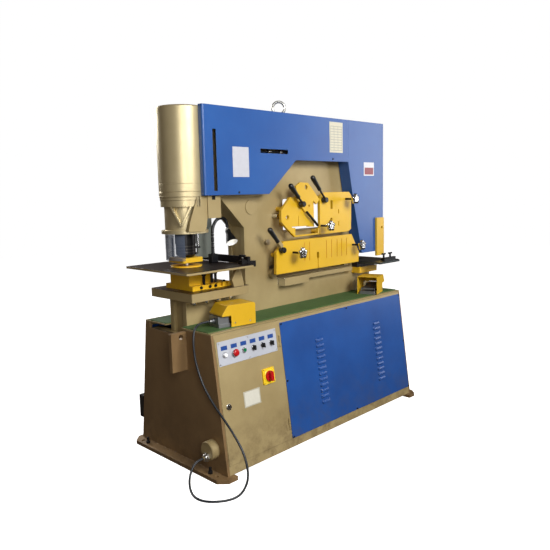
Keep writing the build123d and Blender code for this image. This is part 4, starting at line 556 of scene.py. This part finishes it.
shape = bmesh.new()
lock_front = across_front(on_front(-0.811, 0.376, sheet_face + 0.0071))
slab(shape, (-0.004, -0.015, 0.0), (0.004, 0.015, 0.007), lock_front)
finished("lock_wing", shape, "door_lock", chrome, soften=0.0012)
shape = bmesh.new()
lock_front = across_front(on_front(-0.811, 0.376, sheet_face))
rings_of(shape, [(0.0142, 0.0), (0.0165, 0.0), (0.0165, 0.0025), (0.0142, 0.0035)], lock_front, 28, hollow=True)
finished("lock_escutcheon", shape, "door", zinc)

# Switch plate: pale enamelled plate with silver bezels, one white lamp, a red
# mushroom stop button, a green start button and three black selectors. Blank
# blue tabs stand over them. The main switch is red on yellow.
plate_white = enamel("switch_plate_enamel", "#b9bcc4", "#aaaeb6", "#d8dade", roughness=0.35, wear=0.1)
coat(plate_white, "switch_plate")
plate_face = sheet_face + 0.002


def moulded(name, colour, roughness):
    """Injection-moulded plastic with a faint grain and worn, paler high spots."""
    made, tree, shader = new_finish(name)
    place = object_place(tree)
    grain = put(tree, "ShaderNodeTexNoise", {"Vector": place, "Scale": 600.0, "Detail": 2.0})
    skin = put(tree, "ShaderNodeBump", {"Height": grain.outputs["Fac"], "Strength": 0.08, "Distance": 0.0005})
    tree.links.new(skin.outputs[0], shader.inputs["Normal"])
    handled = put(tree, "ShaderNodeTexNoise", {"Vector": place, "Scale": 35.0, "Detail": 4.0})
    pale = [min(1.0, c * 1.25 + 0.004) for c in linear(colour)[:3]] + [1]
    tone = put(tree, "ShaderNodeMix", {0: handled.outputs["Fac"], 6: linear(colour), 7: pale}, data_type="RGBA")
    tree.links.new(tone.outputs[2], shader.inputs["Base Color"])
    shader.inputs["Roughness"].default_value = roughness
    return made


black_plastic = moulded("black_nylon", "#121214", 0.32)
red_plastic = moulded("red_moulding", "#a80f14", 0.25)
green_plastic = moulded("green_moulding", "#12683c", 0.25)
yellow_plastic = moulded("yellow_moulding", "#e2bd22", 0.3)
white_plastic = moulded("white_lens", "#e9ecef", 0.2)
coat(black_plastic, "selector_mode", "selector_speed", "selector_lamp")
coat(red_plastic, "main_switch_knob")
coat(green_plastic, "start_button")
coat(yellow_plastic, "main_switch_plate")
control_places = [-0.798 + 0.0682 * i for i in range(6)]
control_spots = [on_front(x, 0.645, plate_face) for x in control_places]
shape = bmesh.new()
for spot in control_spots:
    ring = [(0.0127, 0.0060), (0.0127, 0.0068), (0.0138, 0.0070), (0.0150, 0.0055), (0.0155, 0.0), (0.0141, 0.0)]
    rings_of(shape, ring, across_front(spot), 32, hollow=True)
finished("control_bezels", shape, "door", chrome)
shape = bmesh.new()
lens = [(0.0118, 0.0058), (0.0116, 0.011), (0.0105, 0.0145), (0.0080, 0.0165), (0.0040, 0.0173), (0.0005, 0.0174)]
rings_of(shape, lens, across_front(control_spots[0]), 32)
finished("lamp_lens", shape, "door", white_plastic)
shape = bmesh.new()
cap = [(0.0095, 0.0045), (0.0095, 0.011), (0.0185, 0.0115), (0.0200, 0.0135), (0.0198, 0.0165), (0.0180, 0.0205),
       (0.0140, 0.0232), (0.0080, 0.0243), (0.0010, 0.0246)]
rings_of(shape, cap, across_front(control_spots[1]), 40)
finished("stop_mushroom", shape, "stop_button", red_plastic, slot="red_plastic", replaces=("stop_button",))
plate_corners = [on_front(x, z, plate_face + 0.0003) for z in (0.601, 0.709) for x in (-0.832, -0.6265, -0.421)]
screws("switch_plate_screws", "door", plate_corners, out_front, 0.004, 0.0022, zinc)
switch_corners = [on_front(x, z, sheet_face + 0.0093) for z in (0.434, 0.506) for x in (-0.544, -0.472)]
screws("main_switch_screws", "door", switch_corners, out_front, 0.003, 0.0016, zinc)
shape = bmesh.new()
switch_front = across_front(on_front(-0.508, 0.470, sheet_face + 0.009))
rings_of(shape, [(0.0305, 0.0), (0.0355, 0.0), (0.0355, 0.002), (0.0320, 0.004), (0.0305, 0.004)], switch_front,
         40,
         hollow=True)
finished("main_switch_collar", shape, "door", yellow_plastic)


def card(name, body, colour, spots, thickness=0.0008):
    """Flat blank plates given by their corners in order, screen-printed with a plain field."""
    made, tree, shader = new_finish(name + "_print")
    place = object_place(tree)
    fade = put(tree, "ShaderNodeTexNoise", {"Vector": place, "Scale": 60.0, "Detail": 3.0})
    dim = [c * 0.86 for c in linear(colour)[:3]] + [1]
    tone = put(tree, "ShaderNodeMix", {0: fade.outputs["Fac"], 6: linear(colour), 7: dim}, data_type="RGBA")
    tree.links.new(tone.outputs[2], shader.inputs["Base Color"])
    shader.inputs["Roughness"].default_value = 0.35
    shape = bmesh.new()
    for corners in spots:
        corners = [Vector(c) for c in corners]
        normal = (corners[1] - corners[0]).cross(corners[3] - corners[0]).normalized()
        back = [shape.verts.new(c) for c in corners]
        front = [shape.verts.new(c + normal * thickness) for c in corners]
        shape.faces.new(front)
        shape.faces.new(list(reversed(back)))
        for i in range(4):
            j = (i + 1) % 4
            shape.faces.new((back[i], back[j], front[j], front[i]))
    return finished(name, shape, body, made)


def sloped_card(x0, x1, z0, z1, out):
    """Corners of a label on the sloped door."""
    return [on_front(x0, z0, out), on_front(x1, z0, out), on_front(x1, z1, out), on_front(x0, z1, out)]


card("door_label", "door", "#b9b4a0", [sloped_card(-0.703, -0.581, 0.339, 0.425, sheet_face + 0.0001)])
card("door_label_rim", "door", "#d8d5c6", [sloped_card(-0.695, -0.589, 0.345, 0.419, sheet_face + 0.0009)],
     0.0002)
tabs = [sloped_card(x - 0.021, x + 0.021, 0.671, 0.693, plate_face + 0.0001) for x in control_places]
card("switch_labels", "door", "#23498f", tabs)

# Cable gland: a plated brass nut and dome on the khaki boss at the cabinet's
# end, where the pedal cord goes in, and a stub of conduit elbow.
shape = bmesh.new()
gland_end = aim((-0.9152, -0.290, 0.118), (-1, 0, 0))
rings_of(shape, [(0.0230, 0.0), (0.0245, 0.001), (0.0245, 0.010), (0.0230, 0.011)], gland_end, 6)
dome = [(0.0196, 0.011), (0.0204, 0.014), (0.0204, 0.019), (0.0172, 0.024), (0.0112, 0.0268), (0.0100, 0.0285)]
rings_of(shape, dome, gland_end, 28)
finished("cabinet_gland", shape, "machine", zinc)

# End tray: the 4 mm khaki sheet that floors the recess at the deck's left end,
# under the hoses. It reads as a pale strip in the dark gap.
shape = bmesh.new()
slab(shape, (-0.868, -0.090, 0.718), (-0.800, 0.255, 0.722))
finished("end_tray", shape, "machine", khaki)

# Frame: twin 32 mm plates, flame-cut and enamelled khaki, with turned steel
# pins standing out of the front one, and guide rods with bright collars behind
# the guard's slots.
steel_pin = ("#cfcfcb", 1.0, 0.22)
dull_pin = ("#a89c84", 0.8, 0.35)
oxide_rod = ("#1b1b1d", 0.6, 0.35)
frame_parts = [
    ((-0.161, -0.110, 1.324), (-0.131, -0.0505, 1.354), *steel_pin),
    ((-0.231, -0.080, 1.165), (-0.193, -0.0505, 1.203), *dull_pin),
    ((-0.203, -0.082, 0.956), (-0.139, -0.0505, 1.020), "#a5946a", 0.5, 0.35),
    ((-0.117, -0.112, 0.902), (-0.1148, -0.049, 0.954), *steel_pin),
    ((-0.677, -0.125, 1.450), (-0.653, -0.099, 1.880), *oxide_rod),
    ((-0.350, -0.125, 1.710), (-0.070, -0.099, 1.732), *oxide_rod),
]
frame_parts += [((-0.677, -0.125, z), (-0.653, -0.099, z + 0.020), *steel_pin) for z in (1.553, 1.690)]
frame_parts += [((x, -0.125, 1.709), (x + 0.020, -0.099, 1.733), *steel_pin) for x in (-0.243, -0.146)]
frame_khaki = enamel("frame_khaki_enamel", *khaki_tones, **satin, parts=frame_parts)
coat(frame_khaki, "frame_plate_front")
coat(khaki, "frame_inner")

# Guards: 3 mm folded sheet in blue enamel, screwed over the frame, with bare
# white and cream plates. The right-hand one wraps the machine's end.
# Painted sheen: the guards' blue is lighter than the covers' blue, for the sheen on their faces.
guard_blue = enamel("guard_blue_enamel", "#28589c", "#255092", "#5f86bc", roughness=0.30, edge=0.004)
coat(guard_blue, "guard_front", "guard_rear", "guard_end")
guard_screws = [(-0.499, -0.1405, 1.487), (0.330, -0.1405, 1.690)]
screws("guard_screws", "machine", guard_screws, (0, -1, 0), 0.0065, 0.004, black_oxide)
end_screws = [(0.9005, y, z) for y in (-0.11, 0.158) for z in (1.08, 1.5, 1.92)]
screws("cover_end_screws", "machine", end_screws, (1, 0, 0), 0.0065, 0.004, black_oxide)


def upright_card(x0, x1, z0, z1, y=-0.1401):
    """Corners of a label on an upright front face."""
    return [(x0, y, z0), (x1, y, z0), (x1, y, z1), (x0, y, z1)]


card("white_label", "machine", "#c4c5cd", [upright_card(-0.540, -0.419, 1.572, 1.737)])
card("chart_plate", "machine", "#d2cdb6", [upright_card(0.298, 0.433, 1.732, 1.927)])
rules = [upright_card(0.306, 0.425, 1.745 + 0.017 * i, 1.7475 + 0.017 * i, -0.1409) for i in range(10)]
rules += [upright_card(x, x + 0.002, 1.745, 1.9005, -0.1409) for x in (0.306, 0.342, 0.382, 0.423)]
card("chart_rules", "machine", "#8f8f8a", rules, 0.0002)
card("end_label", "machine", "#dcdce2", [upright_card(0.667, 0.786, 1.584, 1.676)])
card("end_label_field", "machine", "#8c2f3c", [upright_card(0.676, 0.777, 1.592, 1.640, -0.1409)], 0.0003)

# Lifting eye: drop-forged steel ring bolt, zinc plated, on the frame's top tie.
coat(zinc, "eye_bolt")

# Punch end: the cylinder and ram housing are turned steel in a glossy
# champagne metallic enamel, smooth enough to hold a tall streak of light.
gold = enamel("champagne_enamel", "#c9ba92", "#bbab82", "#ded3b4", metallic=0.6, roughness=0.40, fleck=0.04,
              wear=0.5)
coat(gold, "punch_cylinder", "ram_housing")
punch_axis = Matrix.Translation((-0.762, 0.024, 0))
shape = bmesh.new()
for z in (1.4725, 1.4985, 1.540):
    band = [(0.1318, z - 0.002), (0.1325, z - 0.001), (0.1325, z + 0.001), (0.1318, z + 0.002), (0.1300, z)]
    rings_of(shape, band, punch_axis, 96, hollow=True)
finished("cylinder_bands", shape, "machine", gold)

# Ram: black oiled steel with a knurled coupling nut, over a bright punch and a
# bright guide rod.
ring_edges = [((-0.85, -0.07, z), (-0.67, 0.12, z + 0.004), "#4a4642", 0.9, 0.3) for z in (1.150, 1.166, 1.182,
                                                                                           1.199)]
ram_black = enamel("oiled_ram_steel", "#1d1b1b", "#121112", "#5b5754", metallic=0.6, roughness=0.3, wear=0.6,
                   parts=ring_edges)
coat(ram_black, "ram")
coat(chrome, "punch_and_rod")

# Stripper: a yellow block with a hole for the punch, on a grey-green arm from
# the rear frame plate.
yellow_tones = ("#dcb024", "#cfa31d", "#8a6f35")
yellow = enamel("yellow_enamel", *yellow_tones, roughness=0.36, wear=0.55, edge=0.004)
coat(yellow, "stripper", "hold_down_bar", "hold_down_angle", "pedal_hoods")
grey_green = enamel("grey_green_enamel", "#6a6f68", "#5a5f58", "#8f938c", roughness=0.5)
coat(grey_green, "stripper_arm")

# Shield: a curved sheet of smoked clear polycarbonate that swings aside on its
# pin. Its edges look darker, as a sheet seen edge on does.
clear_sheet, tree, shader = new_finish("clear_polycarbonate")
facing = put(tree, "ShaderNodeLayerWeight", {"Blend": 0.35})
veil = put(tree, "ShaderNodeMapRange", {"Value": facing.outputs["Facing"], "From Min": 0.1, "From Max": 0.95,
                                        "To Min": 0.30, "To Max": 0.85})
tree.links.new(veil.outputs[0], shader.inputs["Alpha"])
smoke = put(tree, "ShaderNodeTexNoise", {"Vector": object_place(tree), "Scale": 16.0, "Detail": 4.0})
tone = put(tree, "ShaderNodeMix", {0: smoke.outputs["Fac"], 6: linear("#56627a"), 7: linear("#7d8798")},
           data_type="RGBA")
tree.links.new(tone.outputs[2], shader.inputs["Base Color"])
shader.inputs["Roughness"].default_value = 0.08
shader.inputs["IOR"].default_value = 1.58
coat(clear_sheet, "punch_shield")

# Punch table: a 12 mm plate, its top bare and brown with oil, its edge and
# brackets khaki, with a black fence rail, clamps and a bright scale along it.
table_top = ((-1.0, -0.30, 1.0868), (-0.45, 0.35, 1.10), "#2c211e", 0.5, 0.34)
table_khaki = enamel("table_khaki_enamel", *khaki_tones, **satin, wear=0.7, parts=[table_top])
coat(table_khaki, "punch_table")
shape = bmesh.new()
for y in (-0.180, 0.270):
    rings_of(shape, [(0.0078, 1.1215), (0.0078, 1.125), (0.006, 1.127)], Matrix.Translation((-0.527, y, 0)), 16)
    slab(shape, (-0.5335, y - 0.016, 1.1101), (-0.5205, y + 0.016, 1.1116))
slab(shape, (-0.4795, -0.198, 1.1021), (-0.446, -0.162, 1.1036))
finished("fence_brights", shape, "table_fence", zinc, soften=0.0005)

# Bolster and die holder: a khaki plate whose top is painted dark brown as
# painted shade from the table above, bright screw heads under its front edge,
# and a yellow slotted holder with dark screws, a die and its ring.
# Painted shade: the bolster's top slice is dark brown for the shade under the table.
bolster_shade_and_screw_heads = [((-0.90, -0.17, 0.9605), (-0.45, 0.25, 0.965), "#3a2a1c", 0.4, 0.4)]
bolster_shade_and_screw_heads += [((-0.864 + 0.084 * i, -0.162, 0.899), (-0.836 + 0.084 * i, -0.132, 0.9138),
                   *steel_pin) for i in range(4)]
bolster_khaki = enamel("bolster_khaki_enamel", *khaki_tones, **satin, wear=0.6, parts=bolster_shade_and_screw_heads)
coat(bolster_khaki, "bolster")
screw_black = [((x - 0.0125, y - 0.0125, 0.9885), (x + 0.0125, y + 0.0125, 1.06), "#1a1718", 0.6, 0.35)
               for x, y in ((-0.728, -0.082), (-0.655, -0.060), (-0.628, -0.060))]
die_steel = [((-0.79, -0.01, 1.0868), (-0.73, 0.05, 1.0961), "#6b655c", 0.9, 0.3)]
# Painted light: the holder's yellow is brighter than the other yellow parts', for the strong light on its face.
holder_painted_light_yellow = enamel("holder_yellow_enamel", "#efbc22", "#e2ac1c", "#8a6f35", roughness=0.36, wear=0.9,
                       edge=0.004,
                       parts=screw_black + die_steel)
coat(holder_painted_light_yellow, "die_holder")
shape = bmesh.new()
for x in (-0.760, -0.700, -0.660):
    rings_of(shape, [(0.0085, 0.0), (0.0085, 0.006), (0.0070, 0.008)], aim((x, -0.0962, 0.976), (0, -1, 0)), 20)
for x, y in ((-0.80, -0.05), (-0.74, -0.05), (-0.575, -0.07)):
    base = 1.0541 if x < -0.72 else 0.9881
    rings_of(shape, [(0.008, base), (0.008, base + 0.007), (0.0065, base + 0.009)], Matrix.Translation((x, y, 0)),
             6)
finished("holder_screws", shape, "machine", black_oxide)

# Shear tools: the rocking beam's upper blade and the notching punch, ground
# tool steel, under three yellow hold-downs. The flat one carries orange stripes
# that are painted shade and painted reflection of ripples in its face.
ground_steel = bare_metal("ground_tool_steel", "#a5a6a6", "#6f7172", 0.34)
coat(ground_steel, "beam_tools")
# Painted shade and reflection: vertical orange stripes on the flat hold-down's face.
ripple_shade_stripes = [((x - 0.0038, -0.13385, 1.040), (x + 0.0038, -0.125, 1.170), "#d0961e", 0.0, 0.4)
              for x in (0.045, 0.092, 0.261, 0.313, 0.371, 0.420, 0.474)]
flat_yellow = enamel("flat_yellow_enamel", *yellow_tones, roughness=0.36, wear=0.55, edge=0.004, parts=ripple_shade_stripes)
coat(flat_yellow, "hold_down_flat")

# Stop rod: a 16 mm round bar in black oxide that lies across the angle
# hold-down, a dark slanted line on its yellow face.
shape = bmesh.new()
low_end, high_end = Vector((0.155, -0.1545, 1.266)), Vector((0.047, -0.1545, 1.358))
reach = (high_end - low_end).length
bar = [(0.0065, 0.0), (0.008, 0.0015), (0.008, reach - 0.0015), (0.0065, reach)]
rings_of(shape, bar, aim(low_end, high_end - low_end), 20)
finished("stop_rod", shape, "machine", black_oxide)

# Hold-down knobs: five-lobed star knobs, cast in zinc alloy and tumbled
# bright, each on the end of a black stud that screws through its hold-down.
polished_alloy = bare_metal("polished_zinc_alloy", "#e2e2e2", "#b7b9bb", 0.16, (40.0, 40.0, 40.0))
knobs = {"star_knob_bar": (0.468, 1.428), "star_knob_angle": (0.209, 1.262), "star_knob_left": (-0.062, 1.111),
         "star_knob_right": (0.542, 1.113)}
star = [(0.0135, 0.0687), (0.0290, 0.0700), (0.0355, 0.0735), (0.0375, 0.0800), (0.0375, 0.0835),
        (0.0350, 0.0895),
        (0.0290, 0.0930), (0.0215, 0.0942), (0.0205, 0.0930), (0.0120, 0.0928), (0.0105, 0.0945),
        (0.0020, 0.0947)]
for name, (x, z) in knobs.items():
    shape = bmesh.new()
    placed = aim((x, -0.1343, z), (0, -1, 0))
    rings_of(shape, [(0.0068, 0.0), (0.0068, 0.0600)], placed, 20)
    finished(name + "_stud", shape, name, black_oxide, slot="knob_alloy", replaces=(name,))
    shape = bmesh.new()
    rings_of(shape, [(0.0095, 0.0585), (0.0128, 0.0595), (0.0130, 0.0670), (0.0150, 0.0690)], placed, 24)
    rings_of(shape, star, placed @ Matrix.Rotation(radians(18), 4, "Z"), 60, 5, 0.22)
    finished(name + "_star", shape, name, polished_alloy, slot="knob_alloy", replaces=(name,))

# Clamp levers: black nylon grips on short steel arms, each with a hub that
# lifts and turns on its stud. The one on the flat hold-down has a khaki block.
levers = {
    "lever_flat": ((-0.169, 1.135), (-0.214, 1.187), -0.134),
    "lever_angle": ((0.002, 1.407), (-0.036, 1.446), -0.146),
    "lever_bar": ((0.233, 1.427), (0.176, 1.492), -0.134),
}
for name, (hub, start, face) in levers.items():
    way = Vector((start[0] - hub[0], 0, start[1] - hub[1]))
    root = way.length
    way.normalize()
    shape = bmesh.new()
    on_stud = aim((hub[0], face - 0.0003, hub[1]), (0, -1, 0))
    hub_rings = [(0.019, 0), (0.020, 0.002), (0.020, 0.013), (0.0175, 0.015), (0.0175, 0.030), (0.0145, 0.034)]
    rings_of(shape, hub_rings, on_stud, 24)
    rings_of(shape, [(0.007, 0.0338), (0.007, 0.0343)], on_stud, 6)
    along = aim((hub[0], face - 0.022, hub[1]), way)
    rings_of(shape, [(0.009, 0.004), (0.0065, root * 0.5), (0.007, root)], along, 16)
    grip = [(0.0095, root - 0.001), (0.0125, root + 0.001), (0.0130, root + 0.012), (0.0122, root + 0.022),
            (0.0148, root + 0.070), (0.0160, root + 0.096), (0.0150, root + 0.106), (0.0110, root + 0.1115),
            (0.0030, root + 0.112)]
    rings_of(shape, grip, along, 32)
    finished(name + "_handle", shape, name, black_plastic, slot="black_plastic", replaces=(name,))
    if name == "lever_flat":
        shape = bmesh.new()
        slab(shape, (-0.0125, -0.0125, root * 0.42), (0.0125, 0.0125, root + 0.002), along)
        finished("lever_block", shape, name, frame_khaki, slot="black_plastic", replaces=(name,), soften=0.0015)

# Notcher: a yellow die block in the frame's mouth with a dark die on it, a
# ground table with black stops and clamps, and a yellow upright plate.
die_dark = [((0.638, -0.0985, 0.9421), (0.852, 0.1465, 0.9735), "#3b3836", 0.8, 0.35)]
notch_yellow = enamel("notcher_yellow_enamel", *yellow_tones, roughness=0.36, wear=0.8, edge=0.004,
                      parts=die_dark)
coat(notch_yellow, "notcher")
stops = [((0.745, -0.262, 0.9853), (0.920, -0.200, 1.045), "#17181a", 0.5, 0.35)]
notch_steel = enamel("oiled_table_steel", "#4b5254", "#3b4143", "#9da0a0", metallic=0.8, roughness=0.32, wear=0.6,
                     parts=stops)
coat(notch_steel, "notch_table")

# Foot pedals: pressed yellow hoods over cast alloy bases, each with a screwed
# terminal box, a cable gland at the toe and rivets along the hood.
cast_alloy = bare_metal("cast_aluminium", "#9b9d9f", "#828486", 0.5, (200.0, 200.0, 200.0))
coat(cast_alloy, "pedal_bases", "treadle_left", "treadle_right")
pedals = {"left": ((-0.5316, -0.2253, 0.770), radians(169)), "right": ((0.5731, -0.2336, 0.770), radians(20.8))}
for side, (origin, turn) in pedals.items():
    placed = Matrix.Translation(origin) @ Matrix.Rotation(turn, 4, "Z")
    shape = bmesh.new()
    gland = placed @ Matrix.Translation((0.2245, 0, 0.032)) @ Matrix.Rotation(pi / 2, 4, "Y")
    rings_of(shape, [(0.0145, 0.0), (0.0155, 0.001), (0.0155, 0.009), (0.0145, 0.010)], gland, 6)
    ridges = [(0.0122 if i % 2 else 0.0112, 0.010 + 0.0012 * i) for i in range(9)]
    rings_of(shape, ridges + [(0.0122, 0.0205), (0.0122, 0.0265), (0.009, 0.0275)], gland, 24)
    finished(f"pedal_gland_{side}", shape, "machine", zinc)
    caps = [placed @ Vector((x, y, 0.0585)) for x in (0.178, 0.214) for y in (-0.040, 0.040)]
    screws(f"terminal_screws_{side}", "machine", caps, (0, 0, 1), 0.004, 0.002, zinc)
    for part, y in (("a", 1), ("b", -1)):
        rivets = [placed @ Vector((x, y * 0.0702, 0.020)) for x in (0.035, 0.13)]
        outward = placed.to_3x3() @ Vector((0, y, 0))
        screws(f"hood_rivets_{part}_{side}", "machine", rivets, outward, 0.0045, 0.0015, zinc)

# Work lamp: a black magnetic foot, a ribbed flexible steel neck, and a spun
# shade on a ball, tilted to the punch, white inside, with a lit bulb.
lamp_black = enamel("black_stove_enamel", "#141518", "#0d0e10", "#4a4a4c", roughness=0.3, wear=0.3, fleck=0.02)
shape = bmesh.new()
slab(shape, (-0.595, -0.002, 1.0881), (-0.551, 0.042, 1.140))
bmesh.ops.bevel(shape, geom=shape.edges[:], offset=0.004, segments=3, affect="EDGES")
rings_of(shape, [(0.014, 1.1395), (0.012, 1.143), (0.009, 1.146)], Matrix.Translation((-0.573, 0.020, 0)), 24)
neck = [(-0.573, 0.020, 1.144), (-0.573, 0.020, 1.225), (-0.573, 0.020, 1.290), (-0.535, 0.020, 1.342),
        (-0.481, 0.020, 1.342), (-0.460, 0.020, 1.312), (-0.460, 0.020, 1.286)]
guide = bpy.data.curves.new("neck_path", "CURVE")
guide.dimensions = "3D"
way = guide.splines.new("NURBS")
way.points.add(len(neck) - 1)
for point, place in zip(way.points, neck):
    point.co = (*place, 1)
way.order_u = 3
way.use_endpoint_u = True
way.resolution_u = 16
held = bpy.data.objects.new("neck_path", guide)
bpy.context.scene.collection.objects.link(held)
track = bpy.data.meshes.new_from_object(held)
spots = [v.co.copy() for v in track.vertices]
bpy.data.objects.remove(held)
marks = []
for a, b in zip(spots, spots[1:]):
    steps = max(1, round((b - a).length / 0.0022))
    marks += [a.lerp(b, i / steps) for i in range(steps)]
marks.append(spots[-1])
loops = []
for i, spot in enumerate(marks):
    before, after = marks[max(0, i - 1)], marks[min(len(marks) - 1, i + 1)]
    turned = aim(spot, after - before)
    radius = 0.0098 if i % 2 else 0.0086
    circle = [Vector((radius * cos(pi * k / 6), radius * sin(pi * k / 6), 0)) for k in range(12)]
    loops.append([shape.verts.new(turned @ point) for point in circle])
for low, high in zip(loops, loops[1:]):
    for k in range(12):
        shape.faces.new((low[k], low[(k + 1) % 12], high[(k + 1) % 12], high[k]))
shape.faces.new(reversed(loops[0]))
shape.faces.new(loops[-1])
finished("lamp_neck", shape, "machine", lamp_black, slot="black_steel", smooth=60, replaces=("lamp_base",))

shade_white = moulded("white_stove_enamel", "#f2f2ee", 0.35)
ball = Vector((-0.460, 0.020, 1.2747))
tilted = Matrix.Translation(ball) @ Matrix.Rotation(radians(168), 4, "Z") @ Matrix.Rotation(radians(36), 4, "X")
shape = bmesh.new()
outer = [(0.001, -0.004), (0.0125, -0.0045), (0.0142, -0.008), (0.0165, -0.028), (0.0200, -0.040),
         (0.0270, -0.064),
         (0.0335, -0.086), (0.0350, -0.092)]
inner = [(0.0335, -0.0922), (0.0320, -0.086), (0.0255, -0.064), (0.0185, -0.042), (0.0150, -0.033),
         (0.001, -0.032)]
rings_of(shape, outer + inner, tilted, 48)
for turn_at in range(6):
    # Cooling slots' pressed ribs round the neck of the shade
    rib = tilted @ Matrix.Rotation(turn_at * pi / 3, 4, "Z")
    slab(shape, (0.0145, -0.0015, -0.026), (0.0172, 0.0015, -0.010), rib)
made = finished("lamp_shade", shape, "lamp_head", lamp_black, shade_white, slot="black_steel",
                replaces=("lamp_head",))
back = tilted.inverted()
for face in made.data.polygons:
    spot = back @ face.center
    pointing = back.to_3x3() @ face.normal
    if spot.z < -0.0315 and pointing.dot(Vector((spot.x, spot.y, 0))) < 0 and spot.xy.length < 0.0345:
        face.material_index = 1
    if abs(spot.z + 0.032) < 0.0015 and pointing.z < -0.9 and spot.xy.length < 0.015:
        face.material_index = 1
shape = bmesh.new()
knuckle = [(0.001, 0.011), (0.006, 0.0092), (0.0095, 0.0055), (0.011, 0.0), (0.0095, -0.0055), (0.006, -0.0092)]
rings_of(shape, knuckle, Matrix.Translation(ball), 28)
finished("lamp_ball", shape, "lamp_head", zinc, slot="black_steel", replaces=("lamp_head",))
shape = bmesh.new()
bulb = [(0.001, -0.0728), (0.0080, -0.071), (0.0140, -0.0655), (0.0168, -0.057), (0.0150, -0.047),
        (0.0100, -0.040),
        (0.0088, -0.033)]
rings_of(shape, bulb, tilted, 28)
lit_glass = glowing("lit_bulb_glass", linear("#fffdf4"), 0.2, linear("#fffaf0"), 1.6)
finished("lamp_bulb", shape, "lamp_head", lit_glass)
